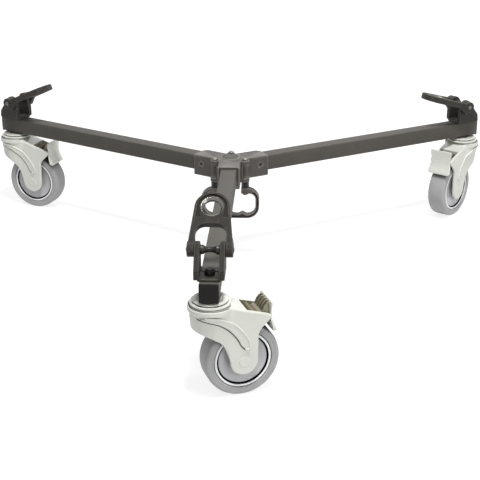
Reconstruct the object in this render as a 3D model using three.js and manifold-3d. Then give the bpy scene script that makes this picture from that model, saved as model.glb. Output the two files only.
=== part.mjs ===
// Folding tripod dolly: three square-tube arms on a cast hub, a foot catch on each arm end,
// a braked swivel caster under each arm end, and a carry handle below the hub.
// Millimetres, +Z up. The origin is the centre of the round cap on top of the hub,
// the front arm runs along -Y, and the floor lies at z = floor_z.
import * as THREE from 'three';
import { mergeVertices } from 'three/addons/utils/BufferGeometryUtils.js';
import Module from 'manifold-3d';

const wasm = await Module();
wasm.setup();

// Driving sizes of the whole dolly
const wheel_d = 100;
const crown_rise = 40;
const tube_size = 25;
const tube_wall = 1.8;
const arm_reach = 492;
const swivel_inset = 23;
const trail = 38;

// Clearances
const fit_gap = 0.3;
const side_gap = 0.4;
const overrun = 2;
const far_overrun = 6;

// Round faces: number of sides, small to large
const sides_small = 10;
const sides_medium = 18;
const sides_large = 24;
const sides_tyre = 36;
const hex_sides = 6;
const arc_steps = 6;
const arc_steps_fine = 12;
const weld = 1e-4;
const full_turn = 360;

// Hub casting
const cap_r = 16;
const cap_proud = 1;
const cap_depth = 2.4;
const hub_top_wall = 3;
const hub_bottom_wall = 8;
const hub_side_wall = 5;
const hub_front_reach = 54;
const hub_stop = 17.7;
const hub_rear_reach = 30;
const socket_depth = 40;
const mouth_edge = 1.2;

// Fold hinges
const fold_azimuth_deg = 30;
const hinge_x = 24.5;
const hinge_y = 14;
const hinge_pin_r = 3;
const hinge_head_r = 5;
const hinge_head_h = 3.2;
const hinge_foot_h = 3;
const knuckle_r = 6;
const knuckle_web = 9;
const knuckle_h = 22;
const lug_r = 7.2;
const nut_h = 10.6;
const nut_r = 6.3;

// Arm blocks on the two folding arms
const block_reach = 62;
const block_near_wall = 2.5;
const block_rear_wall = 5.5;
const block_top_wall = 1.5;
const block_chamfer = 7;
const block_socket_start = 26;
const block_screw_x = 47.5;
const block_screw_r = 2;
const block_screw_head_r = 3.5;
const block_screw_head_h = 1;

// Rear screw of the hub
const rear_screw_y = 22.5;
const rear_screw_r = 2.8;
const rear_screw_head_r = 4.6;
const rear_screw_head_h = 3;
const rear_screw_depth = 16;

// Carry handle below the hub
const handle_half = 47.4;
const handle_drop = 51.5;
const handle_bar = 6.2;
const handle_depth = 12;
const handle_end_h = 9;
const handle_end_half = 6.5;
const handle_corner_r = 20;
const finger_pitch = 20;
const finger_bump = 3;
const finger_steps = 18;

// Foot catch on each arm end
const ear_gap = 24.6;
const ear_t = 7;
const ear_lift = 2.2;
const ear_root = 2;
const ear_arc_start_deg = 20;
const floor_t = 3;
const land_h = 0.8;
const land_gap = 2;
const pivot_x_inset = 33;
const pivot_rise = 32.5;
const ear_r = 10.5;
const ear_hub_inset = 46;
const ear_outer_inset = 5;
const shoulder_rise = 15;
const shoulder_set = 1.5;
const catch_pin_r = 2;
const catch_pin_head_r = 3.4;
const catch_pin_head_h = 0.9;
const roller_r = 6;
const roller_waist_r = 3.1;
const roller_flange = 4.5;
const roller_steps = 4;

// Catch lever
const leg_t = 9;
const leg_boss_r = 9.5;
const leg_half_h = 5;
const lever_reach = 82.6;
const lever_tip_r = 22.6;
const lever_plate_t = 3.2;
const skirt_t = 3.5;
const arch_top = 34.8;
const arch_corner = 12.5;
const ring_bore_r = 11;
const ring_chamfer_r = 13.4;
const ring_chamfer_h = 2.5;
const ring_boss_r = 16.6;
const panel_depth = 1.4;
const panel_rim = 3.8;
const crossbar_w = 10;
const heel_x = 2.2;
const heel_drop = 14.5;
const heel_reach = 16.2;
const pad_w = 6;
const pad_half = 7.8;

// Caster stem and collar
const stem_r = 4.9;
const stem_flange_r = 13;
const stem_flange_h = 3;
const spindle_r = 8;
const spindle_foot_r = 12;
const spindle_foot_h = 4;
const stem_nut_r = 7.4;
const stem_nut_h = 6;
const stem_tip = 2;
const collar_h = 7;
const collar_r = 26.5;
const collar_step_r = 23;
const collar_step_share = 0.57;

// Caster housing
const bead_r = 29.6;
const bead_h = 8;
const bead_edge = 2.6;
const crown_t = 20;
const crown_flat_x = 16;
const fork_half = 20.8;
const wheel_gap = 0.9;
const tread_gap = 3;
const leg_end_r = 18.5;
const pocket_r = 19;
const slot_start = 5;

// Wheel
const tyre_half = 15.6;
const tyre_t = 11.2;
const tyre_shoulder = 5;
const shoulder_steps = 3;
const rim_half = 13.6;
const groove_r = 34.6;
const groove_w = 1.2;
const groove_depth = 1.6;
const dish_r = 31;
const dish_depth = 1.8;
const axle_r = 4;
const axle_set = 0.3;

// Brake pedal and cam
const pedal_gap = 0.7;
const pedal_ahead_share = 0.7;
const pedal_z_rise = 8;
const pedal_barrel_r = 5.2;
const pedal_pin_r = 2.2;
const pedal_h = 41;
const pedal_half = 20.3;
const pedal_rib_t = 2.2;
const pedal_ribs = 5;
const cam_back = 11.615;
const cam_z_rise = 12.4;
const cam_r = 5.3;

// Arms, seen from above: where each points, where its caster trails, how far its lever is open
const arms = [
  { name: 'front', azimuth_deg: -90, trail_deg: 22.2, lever_deg: 36.5, hinge_side: 0 },
  { name: 'left', azimuth_deg: 180 - fold_azimuth_deg, trail_deg: -18.3, lever_deg: 24.5, hinge_side: 1 },
  { name: 'right', azimuth_deg: fold_azimuth_deg, trail_deg: 234.4, lever_deg: 16.8, hinge_side: -1 },
];

// Places that follow from the sizes above
const fold_cos = Math.cos(fold_azimuth_deg / full_turn * 2 * Math.PI);
const fold_sin = Math.sin(fold_azimuth_deg / full_turn * 2 * Math.PI);
const half = tube_size / 2;
const wheel_r = wheel_d / 2;
const hub_top_z = -cap_proud;
const tube_top_z = hub_top_z - hub_top_wall;
const tube_mid_z = tube_top_z - half;
const tube_low_z = tube_top_z - tube_size;
const casting_low_z = tube_low_z - hub_bottom_wall;
const caster_h = wheel_d + crown_rise;
const floor_z = tube_low_z - caster_h;
const swivel_x = arm_reach - swivel_inset;
const hub_half = half + hub_side_wall;
const knuckle_mid_z = (hub_top_z + casting_low_z) / 2;
const knuckle_top_z = knuckle_mid_z + knuckle_h / 2;
const knuckle_low_z = knuckle_mid_z - knuckle_h / 2;
const nut_top_z = casting_low_z;
const handle_top_z = nut_top_z - nut_h;
const ear_in = ear_gap / 2;
const ear_out = ear_in + ear_t;
const leg_in = ear_out + side_gap;
const leg_out = leg_in + leg_t;
const fork_in = tyre_half + wheel_gap;
const collar_top_z = caster_h - stem_flange_h;
const collar_low_z = collar_top_z - collar_h;
const crown_top_z = collar_low_z - fit_gap;
const pocket_top_z = crown_top_z - crown_t;

const pedal_back_share = 0.285;
const pedal_x = trail + pedal_ahead_share * wheel_r + pedal_gap - pedal_back_share * pedal_h;
const cam_x = pedal_x - cam_back;

// Materials
const paint = (color, roughness, metalness) => new THREE.MeshStandardMaterial({ color, roughness, metalness });
const tube_paint = paint(0x4a4643, 0.42, 0.35);
const casting_paint = paint(0x5b5853, 0.55, 0.25);
const catch_paint = paint(0x35322f, 0.5, 0.2);
const black_plastic = paint(0x1d1c1b, 0.5, 0);
const bright_steel = paint(0xc9c8c4, 0.3, 0.9);
const dark_steel = paint(0x2a2928, 0.4, 0.7);
const pale_plastic = paint(0xdedfd8, 0.45, 0);
const wheel_plastic = paint(0xb9babd, 0.5, 0);
const grey_rubber = paint(0x8d8c92, 0.7, 0);

// Small helpers: angles, points, geometry and solids
const rad = (deg) => THREE.MathUtils.degToRad(deg);

// Points of a circle arc round (cx, cy), from one angle to another, in degrees.
function arc(cx, cy, r, from_deg, to_deg, steps = arc_steps) {
  const points = [];
  for (let i = 0; i <= steps; i++) {
    const a = rad(from_deg + (to_deg - from_deg) * i / steps);
    points.push([cx + r * Math.cos(a), cy + r * Math.sin(a)]);
  }
  return points;
}

// Smooth curve through the given points.
function smooth(points, steps) {
  const curve = new THREE.SplineCurve(points.map(([x, y]) => new THREE.Vector2(x, y)));
  return curve.getPoints(steps).map((p) => [p.x, p.y]);
}

// Outline in X and Y, raised from z0 to z1.
function slab(outline, z0, z1, holes = []) {
  const shape = new THREE.Shape(outline.map(([x, y]) => new THREE.Vector2(x, y)));
  shape.holes = holes.map((hole) => new THREE.Path(hole.map(([x, y]) => new THREE.Vector2(x, y))));
  const geometry = new THREE.ExtrudeGeometry(shape, { depth: z1 - z0, bevelEnabled: false });
  return geometry.translate(0, 0, z0);
}

// Outline in X and Z, run across from y0 to y1.
function across(outline, y0, y1, holes = []) {
  return slab(outline, -y1, -y0, holes).rotateX(Math.PI / 2);
}

function box(x0, x1, y0, y1, z0, z1) {
  const geometry = new THREE.BoxGeometry(x1 - x0, y1 - y0, z1 - z0);
  return geometry.translate((x0 + x1) / 2, (y0 + y1) / 2, (z0 + z1) / 2);
}

// Upright round bar.
function post(r, z0, z1, sides = sides_medium, x = 0, y = 0) {
  const geometry = new THREE.CylinderGeometry(r, r, z1 - z0, sides);
  return geometry.rotateX(Math.PI / 2).translate(x, y, (z0 + z1) / 2);
}

// Round bar that runs across, along Y.
function cross_bar(r, x, z, y0, y1, sides = sides_medium) {
  const geometry = new THREE.CylinderGeometry(r, r, y1 - y0, sides);
  return geometry.translate(x, (y0 + y1) / 2, z);
}

// Turned piece round the Z axis from [radius, z] points that close on themselves or on the axis.
function turned(profile, sides = sides_medium) {
  const points = profile.map(([r, z]) => new THREE.Vector2(r, z));
  if (profile[0][0] > 0) points.push(points[0].clone());
  return new THREE.LatheGeometry(points, sides).rotateX(Math.PI / 2);
}

// Turned piece round a line along Y through (x, z), from [radius, y] points.
function turned_across(profile, x, z, sides = sides_medium) {
  const geometry = turned(profile, sides);
  return geometry.rotateX(-Math.PI / 2).translate(x, 0, z);
}

// Solid of a closed geometry, for joining and cutting.
function solid(geometry) {
  const bare = geometry.clone();
  bare.deleteAttribute('normal');
  bare.deleteAttribute('uv');
  const merged = mergeVertices(bare, weld);
  const faces = merged.index.array;
  const kept = [];
  for (let i = 0; i < faces.length; i += 3) {
    const [a, b, c] = [faces[i], faces[i + 1], faces[i + 2]];
    if (a !== b && b !== c && c !== a) kept.push(a, b, c);
  }
  const vertProperties = new Float32Array(merged.attributes.position.array);
  const body = new wasm.Manifold(new wasm.Mesh({ numProp: 3, vertProperties, triVerts: new Uint32Array(kept) }));
  return body.volume() < 0 ? solid(flipped(merged, kept)) : body;
}

// The same triangles with their faces turned round.
function flipped(merged, kept) {
  const turned_faces = [];
  for (let i = 0; i < kept.length; i += 3) turned_faces.push(kept[i], kept[i + 2], kept[i + 1]);
  const geometry = new THREE.BufferGeometry();
  geometry.setAttribute('position', merged.attributes.position.clone());
  geometry.setIndex(turned_faces);
  return geometry;
}

function joined(...geometries) {
  return geometry_of(geometries.map(solid).reduce((sum, next) => sum.add(next)));
}

function cut(geometry, ...tools) {
  return geometry_of(tools.map(solid).reduce((left, tool) => left.subtract(tool), solid(geometry)));
}

function common(a, b) {
  return geometry_of(solid(a).intersect(solid(b)));
}

function geometry_of(body) {
  const mesh = body.getMesh();
  const geometry = new THREE.BufferGeometry();
  geometry.setAttribute('position', new THREE.BufferAttribute(Float32Array.from(mesh.vertProperties), 3));
  geometry.setIndex(new THREE.BufferAttribute(Uint32Array.from(mesh.triVerts), 1));
  return geometry;
}

function piece(name, geometry, material) {
  const mesh = new THREE.Mesh(geometry_of(solid(geometry)), material);
  mesh.name = name;
  return mesh;
}

// Hub, its cap, rear screw and hinge pins
function hub_outline() {
  const stop_y = (x) => (hub_stop - x * fold_cos) / fold_sin;
  const stop_x = (y) => (hub_stop - y * fold_sin) / fold_cos;
  const lug_low = -hinge_y - lug_r;
  const right = [
    [hub_half, -hub_front_reach],
    [hub_half, lug_low],
    [hinge_x, lug_low],
    [hinge_x, stop_y(hinge_x)],
    [hub_half, stop_y(hub_half)],
    [stop_x(hub_rear_reach), hub_rear_reach],
  ];
  const left = right.map(([x, y]) => [-x, y]).reverse();
  return [...right, ...left];
}

function hub_body() {
  const lugs = [-hinge_x, hinge_x].map((x) => post(lug_r, casting_low_z, hub_top_z, sides_medium, x, -hinge_y));
  const socket_end = -hub_front_reach + socket_depth;
  const socket_half = half + fit_gap;
  const pockets = [-1, 1].flatMap((side) => {
    const x = side * hinge_x;
    const reach = lug_r + fit_gap;
    const [z0, z1] = [knuckle_low_z - fit_gap, knuckle_top_z + fit_gap];
    const beyond = side > 0 ? [x, x + lug_r + overrun] : [x - lug_r - overrun, x];
    return [
      post(reach, z0, z1, sides_medium, x, -hinge_y),
      box(...beyond, -hinge_y - lug_r - overrun, -hinge_y + lug_r + overrun, z0, z1),
      post(hinge_pin_r + fit_gap, casting_low_z - overrun, hub_top_z + overrun, sides_small, x, -hinge_y),
    ];
  });
  return cut(
    joined(slab(hub_outline(), casting_low_z, hub_top_z), ...lugs),
    ...pockets,
    box(-socket_half, socket_half, -hub_front_reach - overrun, socket_end,
      tube_low_z - fit_gap, tube_top_z + fit_gap),
    mouth_cut(socket_half),
    post(cap_r + fit_gap, -cap_depth - fit_gap, overrun, sides_large),
    post(rear_screw_r + fit_gap, hub_top_z - rear_screw_depth - fit_gap, overrun, sides_small, 0, rear_screw_y),
  );
}

// Bevel round the mouth of the front socket.
function mouth_cut(socket_half) {
  const wide = socket_half + mouth_edge;
  const outline = [
    [wide, -hub_front_reach - overrun],
    [wide, -hub_front_reach],
    [socket_half, -hub_front_reach + mouth_edge],
    [-socket_half, -hub_front_reach + mouth_edge],
    [-wide, -hub_front_reach],
    [-wide, -hub_front_reach - overrun],
  ];
  return slab(outline, tube_mid_z - wide, tube_mid_z + wide);
}

function hub_cap() {
  const edge = cap_proud / 2;
  return turned([[0, 0], [cap_r - edge, 0], [cap_r, -edge], [cap_r, -cap_depth], [0, -cap_depth]], sides_large);
}

function screw(r, depth, head_r, head_h) {
  return turned([
    [0, head_h], [head_r / 2, head_h], [head_r, head_h / 2], [head_r, 0],
    [r, 0], [r, -depth], [0, -depth],
  ], sides_small);
}

// Hinge pin with its head on the hub and its riveted foot under the handle end.
function hinge_pin() {
  const head = hub_top_z + hinge_head_h;
  const foot = handle_top_z - handle_end_h - fit_gap;
  return turned([
    [0, head], [hinge_head_r - hinge_head_h / 2, head], [hinge_head_r, head - hinge_head_h / 2],
    [hinge_head_r, hub_top_z + fit_gap], [hinge_pin_r, hub_top_z + fit_gap],
    [hinge_pin_r, foot], [hinge_head_r, foot],
    [hinge_head_r - hinge_foot_h / 2, foot - hinge_foot_h], [0, foot - hinge_foot_h],
  ], sides_medium);
}

function hex_nut(r, bore_r, z0, z1) {
  return cut(post(r, z0, z1, hex_sides), post(bore_r, z0 - overrun, z1 + overrun, sides_small));
}

// Carry handle: one stirrup with finger dips, its two ends held by the hinge pins.
function handle_outline() {
  const low = handle_top_z - handle_drop;
  const inner_half = handle_half - handle_bar;
  const end_in = hinge_x - handle_end_half;
  const end_out = hinge_x + handle_end_half;
  const top_r = inner_half - end_out;
  const end_low = handle_top_z - handle_end_h;
  const inner_r = handle_corner_r - handle_bar;
  const shoulder_x = handle_half - handle_corner_r;
  const outer = [
    ...arc(shoulder_x, handle_top_z - handle_corner_r, handle_corner_r, 90, 0),
    ...arc(shoulder_x, low + handle_corner_r, handle_corner_r, 0, -90),
  ];
  const bottom = low + handle_bar;
  const inner = [];
  for (let i = 0; i <= finger_steps; i++) {
    const x = inner_half - inner_r - (inner_half - inner_r) * i / finger_steps;
    const wave = (1 + Math.cos(full_turn / finger_pitch * rad(x))) / 2;
    inner.push([x, bottom + finger_bump * wave ** 2]);
  }
  const right_in = [
    [end_in, handle_top_z],
    [end_in, end_low],
    ...arc(end_out, end_low - top_r, top_r, 90, 0),
    ...arc(shoulder_x, bottom + inner_r, inner_r, 0, -90).slice(0, -1),
    ...inner,
  ];
  const left_in = right_in.map(([x, z]) => [-x, z]).reverse().slice(1);
  const left_out = outer.map(([x, z]) => [-x, z]).reverse();
  return [...outer.slice().reverse(), ...right_in, ...left_in, ...left_out.slice().reverse()];
}

function carry_handle() {
  const bores = [-hinge_x, hinge_x].map((x) =>
    post(hinge_pin_r + fit_gap, handle_top_z - handle_end_h - overrun, handle_top_z + overrun,
      sides_small, x, -hinge_y));
  return cut(across(handle_outline(), -hinge_y - handle_depth / 2, -hinge_y + handle_depth / 2), ...bores);
}

function hub_pieces() {
  const group = new THREE.Group();
  group.add(piece('hub_body', hub_body(), casting_paint));
  group.add(piece('hub_cap', hub_cap(), casting_paint));
  const rear = piece('hub_rear_screw',
    screw(rear_screw_r, rear_screw_depth, rear_screw_head_r, rear_screw_head_h), bright_steel);
  rear.position.set(0, rear_screw_y, hub_top_z);
  group.add(rear);
  for (const [name, x] of [['left', -hinge_x], ['right', hinge_x]]) {
    const pin = piece(`${name}_hinge_pin`, hinge_pin(), bright_steel);
    const nut = piece(`${name}_hinge_nut`,
      hex_nut(nut_r, hinge_pin_r + fit_gap, handle_top_z + fit_gap / 2, nut_top_z - fit_gap / 2), dark_steel);
    pin.position.set(x, -hinge_y, 0);
    nut.position.set(x, -hinge_y, 0);
    group.add(pin, nut);
  }
  group.add(piece('carry_handle', carry_handle(), casting_paint));
  return group;
}

// Arms: X runs outwards along the arm, from the hub's centre

// Bar across Y from the arm's middle to a given place on one side of it.
function side_bar(r, x, z, y0, y1, sides) {
  return cross_bar(r, x, z, Math.min(y0, y1), Math.max(y0, y1), sides);
}

function tube(start, hinge_side) {
  const inner = half - tube_wall;
  const end = arm_reach - tube_wall;
  const screw_holes = hinge_side === 0 ? [] : [
    side_bar(block_screw_r + fit_gap, block_screw_x, tube_mid_z, 0, hinge_side * (half + overrun), sides_small)];
  return cut(
    box(start, end, -half, half, tube_low_z, tube_top_z),
    box(start - overrun, end + overrun, -inner, inner, tube_mid_z - inner, tube_mid_z + inner),
    post(stem_r + fit_gap, tube_low_z - overrun, tube_top_z + overrun, sides_small, swivel_x),
    ...screw_holes,
  );
}

function tube_cap() {
  const inner = half - tube_wall - fit_gap;
  const end = arm_reach - tube_wall;
  const plug_start = swivel_x + stem_r + overrun;
  return joined(
    box(end, arm_reach, -half, half, tube_low_z, tube_top_z),
    box(plug_start, end + tube_wall / 2, -inner, inner, tube_mid_z - inner, tube_mid_z + inner),
  );
}

// Block that holds a folding arm, with its hinge knuckle on the front side.
function arm_block(side) {
  const start = hub_stop + fit_gap;
  const near = half + block_near_wall;
  const rear = half + block_rear_wall;
  const top = tube_top_z + block_top_wall;
  const [pin_x, pin_y] = pin_in_arm();
  const low = casting_low_z + fit_gap;
  const outline = [
    [start, -near], [block_reach, -near], [block_reach, rear - block_chamfer],
    [block_reach - block_chamfer, rear], [start, rear],
  ].map(([x, y]) => [x, -side * y]);
  const socket = half + fit_gap;
  const screw_y = side * near;
  const web_start = start + fit_gap;
  const web = [[web_start, pin_y], [pin_x + knuckle_r, pin_y], [web_start + knuckle_web, -near - side_gap],
    [web_start + knuckle_web, -near + overrun], [web_start, -near + overrun]]
    .map(([x, y]) => [x, -side * y]);
  return cut(
    joined(
      slab(outline, low, top),
      post(knuckle_r, knuckle_low_z, knuckle_top_z, sides_medium, pin_x, -side * pin_y),
      slab(web, knuckle_low_z, knuckle_top_z),
    ),
    post(hinge_pin_r + fit_gap, knuckle_low_z - overrun, knuckle_top_z + overrun,
      sides_small, pin_x, -side * pin_y),
    box(block_socket_start - fit_gap, block_reach + overrun, -socket, socket,
      tube_low_z - fit_gap, tube_top_z + fit_gap),
    side_bar(block_screw_r + fit_gap, block_screw_x, tube_mid_z, 0, screw_y + side * overrun, sides_small),
    side_bar(block_screw_head_r + fit_gap, block_screw_x, tube_mid_z,
      screw_y - side * (block_screw_head_h + fit_gap), screw_y + side * overrun, sides_small),
  );
}

// The hinge pin's place along a folding arm and across it.
function pin_in_arm() {
  const along = hinge_x * fold_cos - hinge_y * fold_sin;
  const aside = -(hinge_x * fold_sin + hinge_y * fold_cos);
  return [along, aside];
}

// Screw that holds the tube in its block, its head sunk in the block's front face.
function block_screw() {
  const depth = block_near_wall + tube_wall;
  return screw(block_screw_r, depth, block_screw_head_r, block_screw_head_h);
}

// Foot catch

function ear_outline() {
  const pivot_x = arm_reach - pivot_x_inset;
  const pivot_z = tube_top_z + pivot_rise;
  const hub_edge = arm_reach - ear_hub_inset;
  const outer = arm_reach - ear_outer_inset;
  const low = tube_top_z + fit_gap + ear_lift;
  return [
    [hub_edge, low],
    [outer, low],
    [outer - shoulder_set, tube_top_z + shoulder_rise],
    ...arc(pivot_x, pivot_z, ear_r, ear_arc_start_deg, 180),
    [hub_edge, pivot_z - ear_r],
  ];
}

function foot_bracket() {
  const hub_edge = arm_reach - ear_hub_inset;
  const outer = arm_reach - ear_outer_inset;
  const low = tube_top_z + fit_gap;
  const pivot = [arm_reach - pivot_x_inset, tube_top_z + pivot_rise];
  const ears = [-1, 1].map((side) =>
    across(ear_outline(), Math.min(side * ear_in, side * ear_out), Math.max(side * ear_in, side * ear_out)));
  return cut(
    joined(...ears,
      box(hub_edge, outer - shoulder_set, -ear_in - ear_root, ear_in + ear_root, low, low + floor_t),
      box(hub_edge, swivel_x - stem_nut_r - land_gap, -ear_in - ear_root, ear_in + ear_root,
        low, low + floor_t + land_h)),
    cross_bar(catch_pin_r + fit_gap, ...pivot, -ear_out - overrun, ear_out + overrun, sides_small),
    post(stem_r + fit_gap, low - overrun, low + floor_t + overrun, sides_small, swivel_x),
  );
}

function catch_pin() {
  const end = leg_out + fit_gap;
  const side = [[catch_pin_r, end], [catch_pin_head_r, end], [catch_pin_head_r, end + catch_pin_head_h],
    [0, end + catch_pin_head_h]];
  const other = side.slice().reverse().map(([r, y]) => [r, -y]);
  return turned([...other, ...side], sides_small);
}

// Waisted roller on the catch pin, between the ears.
function roller() {
  const end = ear_in - fit_gap;
  const neck = end - roller_flange;
  const waist = [];
  for (let i = 0; i <= roller_steps; i++) {
    const y = -neck + 2 * neck * i / roller_steps;
    waist.push([roller_waist_r + (roller_r - roller_waist_r) * (y / neck) ** 2 / 2, y]);
  }
  const bore = catch_pin_r + fit_gap;
  return turned([[bore, -end], [roller_r, -end], [roller_r, -neck], ...waist,
    [roller_r, neck], [roller_r, end], [bore, end]], sides_small);
}

// Lever about its pivot: X runs from the pivot to the tip, Z is its upper side.
function lever_outline() {
  const corner_x = arch_top - arch_corner;
  const corner_y = leg_in - arch_corner;
  return [
    [0, leg_out],
    ...arc(lever_reach - lever_tip_r, 0, lever_tip_r, 90, -90, arc_steps_fine),
    [0, -leg_out],
    [0, -leg_in],
    ...arc(corner_x, -corner_y, arch_corner, -90, 0),
    ...arc(corner_x, corner_y, arch_corner, 0, 90),
    [0, leg_in],
  ];
}

// Round boss of each lever leg, with the heel below it.
function lever_bosses() {
  const heel = [[0, 0], [0, -leg_boss_r], [heel_x, -heel_drop], [heel_reach, -leg_half_h], [heel_reach, 0]];
  const shadow = slab(lever_outline(), -heel_drop, 0);
  return [1, -1].flatMap((side) => {
    const [y0, y1] = side > 0 ? [leg_in, leg_out] : [-leg_out, -leg_in];
    return [cross_bar(leg_boss_r, 0, 0, y0, y1), common(across(heel, y0, y1), shadow)];
  });
}

// Hollow below the lever's plate, inside its skirt: it leaves the boss round the hole and the pad.
function lever_hollow() {
  const ring_x = lever_reach - lever_tip_r;
  const taper = (leg_out - lever_tip_r) / ring_x;
  const start_half = leg_out - taper * leg_boss_r - skirt_t;
  const outline = [[leg_boss_r, start_half],
    ...arc(ring_x, 0, lever_tip_r - skirt_t, 90, -90, arc_steps_fine), [leg_boss_r, -start_half]];
  const top = leg_half_h - lever_plate_t;
  return cut(
    slab(outline, -leg_half_h - overrun, top),
    post(ring_boss_r, -leg_half_h - far_overrun, leg_half_h, sides_medium, ring_x),
    box(arch_top, arch_top + pad_w, -pad_half, pad_half, -leg_half_h - far_overrun, leg_half_h),
  );
}

// Shallow recess between the lever's rim and the boss round its hole.
function lever_panel() {
  const ring_x = lever_reach - lever_tip_r;
  const rim_r = lever_tip_r - panel_rim;
  const start = arch_top + crossbar_w;
  const outline = [[start, -rim_r], ...arc(ring_x, 0, rim_r, -90, 90, arc_steps_fine), [start, rim_r]];
  return cut(
    slab(outline, leg_half_h - panel_depth, leg_half_h + overrun),
    post(ring_boss_r, 0, leg_half_h + far_overrun, sides_medium, ring_x),
  );
}

function lever() {
  const ring_x = lever_reach - lever_tip_r;
  const chamfer = turned([
    [0, leg_half_h + overrun], [ring_chamfer_r + overrun, leg_half_h + overrun],
    [ring_chamfer_r, leg_half_h], [ring_bore_r, leg_half_h - ring_chamfer_h], [0, leg_half_h - ring_chamfer_h],
  ]).translate(ring_x, 0, 0);
  return cut(
    joined(cut(slab(lever_outline(), -leg_half_h, leg_half_h), lever_hollow()), ...lever_bosses()),
    lever_panel(),
    chamfer,
    post(ring_bore_r, -leg_half_h - overrun, leg_half_h + overrun, sides_medium, ring_x),
    cross_bar(catch_pin_r + fit_gap, 0, 0, -leg_out - overrun, leg_out + overrun, sides_small),
  );
}

// Caster: X runs from the swivel axis towards the wheel, Z from the floor up

function stem() {
  const foot = pocket_top_z - fit_gap;
  const tip = caster_h + tube_size + fit_gap + floor_t + fit_gap + stem_nut_h + stem_tip;
  const flange = caster_h - fit_gap;
  return turned([
    [0, tip], [stem_r, tip], [stem_r, flange], [stem_flange_r, flange], [stem_flange_r, collar_top_z],
    [spindle_r, collar_top_z], [spindle_r, foot], [spindle_foot_r, foot],
    [spindle_foot_r, foot - spindle_foot_h], [0, foot - spindle_foot_h],
  ], sides_medium);
}

function collar() {
  const bore = spindle_r + fit_gap;
  const top = collar_top_z - fit_gap;
  const step = collar_low_z + collar_h * collar_step_share;
  return turned([[bore, top], [collar_step_r, top], [collar_step_r, step], [collar_r, step],
    [collar_r, collar_low_z], [bore, collar_low_z]], sides_large);
}

// Side view of the caster housing from the axle, chosen by hand: along in wheel radii,
// up in shares of the height from the axle to the housing's top
const fork_front_shares = [[0.37, 0], [0.384, 0.251], [0.39, 0.427], [0.46, 0.533], [0.6, 0.583],
  [0.69, 0.64], [pedal_ahead_share, 0.709], [0.64, 0.778]];
const fork_top_shares = [[0.2, 0.866], [-0.1, 0.922], [-0.4, 0.979]];
const fork_back_shares = [[-1.36, 0.609], [-1.15, 0.577], [-0.914, 0.514], [-0.654, 0.408],
  [-0.524, 0.295], [-0.42, 0.132], [-0.37, 0]];
const shoulder_shares = [[1, 0], [0.95, 0.4], [0.85, 0.75], [0.68, 1]];

function fork_outline() {
  const place = ([x, z]) => [trail + x * wheel_r, wheel_r + z * (crown_top_z - wheel_r)];
  const back = smooth(fork_back_shares.map(place), arc_steps_fine);
  return [
    ...arc(trail, wheel_r, leg_end_r, -180, 0, arc_steps_fine),
    ...smooth(fork_front_shares.map(place), arc_steps_fine).slice(1),
    ...fork_top_shares.map(place),
    [crown_flat_x, crown_top_z],
    [-bead_r - overrun, crown_top_z],
    [-bead_r - overrun, back[0][1]],
    ...back.slice(0, -1),
  ];
}

// Round head of the housing with its bead, tapering down into the fork.
function fork_head() {
  const bead_low = crown_top_z - bead_h;
  const depth = bead_low - wheel_r;
  const taper = shoulder_shares.map(([r, z]) => [r * (bead_r - bead_edge), bead_low - z * depth]);
  return turned([
    [0, crown_top_z], [bead_r - bead_edge, crown_top_z], [bead_r, crown_top_z - bead_edge],
    [bead_r, bead_low + bead_edge], ...taper, [0, wheel_r],
  ], sides_large);
}

function housing() {
  const outline = across(fork_outline(), -bead_r - overrun, bead_r + overrun);
  const strip = box(0, trail + wheel_d, -fork_half, fork_half, 0, caster_h);
  const slot_x = trail + slot_start;
  return cut(
    common(outline, joined(fork_head(), strip)),
    cross_bar(wheel_r + tread_gap, trail, wheel_r, -fork_in, fork_in, sides_large),
    post(pocket_r, wheel_r, pocket_top_z, sides_medium),
    post(spindle_r + fit_gap, pocket_top_z - overrun, crown_top_z + overrun, sides_medium),
    box(slot_x, trail + wheel_d, -fork_in, fork_in, wheel_r, caster_h),
    cross_bar(axle_r + fit_gap, trail, wheel_r, -fork_half - overrun, fork_half + overrun, sides_small),
    cross_bar(pedal_pin_r + fit_gap, pedal_x, wheel_d + pedal_z_rise, -fork_half - overrun,
      fork_half + overrun, sides_small),
  );
}

function wheel_core() {
  const rim_r = wheel_r - tyre_t - fit_gap;
  const bore = axle_r + fit_gap;
  const face = [
    [bore, rim_half - dish_depth], [dish_r, rim_half - dish_depth],
    [groove_r - groove_w, rim_half], [groove_r - groove_w, rim_half - groove_depth],
    [groove_r, rim_half - groove_depth], [groove_r, rim_half], [rim_r, rim_half],
  ];
  const back = face.slice().reverse().map(([r, y]) => [r, -y]);
  return turned_across([...face, ...back], trail, wheel_r, sides_large);
}

// Tyre with a facet, not a corner, on the floor, so that its tread facets lie at the wheel's radius.
function tyre() {
  const seat = wheel_r - tyre_t;
  const tread_r = wheel_r / Math.cos(Math.PI / sides_tyre);
  const flat = tyre_half - tyre_shoulder;
  const corner = arc(flat, tread_r - tyre_shoulder, tyre_shoulder, 0, 90, shoulder_steps).map(([y, r]) => [r, y]);
  const other = corner.slice().reverse().map(([r, y]) => [r, -y]);
  const ring = turned([[seat, tyre_half], ...corner, ...other, [seat, -tyre_half]], sides_tyre);
  return ring.rotateZ(Math.PI / sides_tyre).rotateX(-Math.PI / 2).translate(trail, 0, wheel_r);
}

// Pedal plate in side view, in pedal heights from its pivot, chosen by hand
const pedal_plate_shares = [[0.29, 0.47], [pedal_back_share, 0.24], [pedal_back_share, 0], [0.31, -0.2], [0.345, -0.37],
  [0.365, -0.53], [0.5, -0.54], [0.49, -0.47], [0.42, -0.29], [0.378, -0.12], [0.365, 0.05],
  [0.37, 0.27], [0.375, 0.46]];
const pedal_rib_shares = [[0, -0.12], [0.3, -0.16], [0.3, 0.42], [0.14, 0.36], [0.02, 0.1]];

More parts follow.
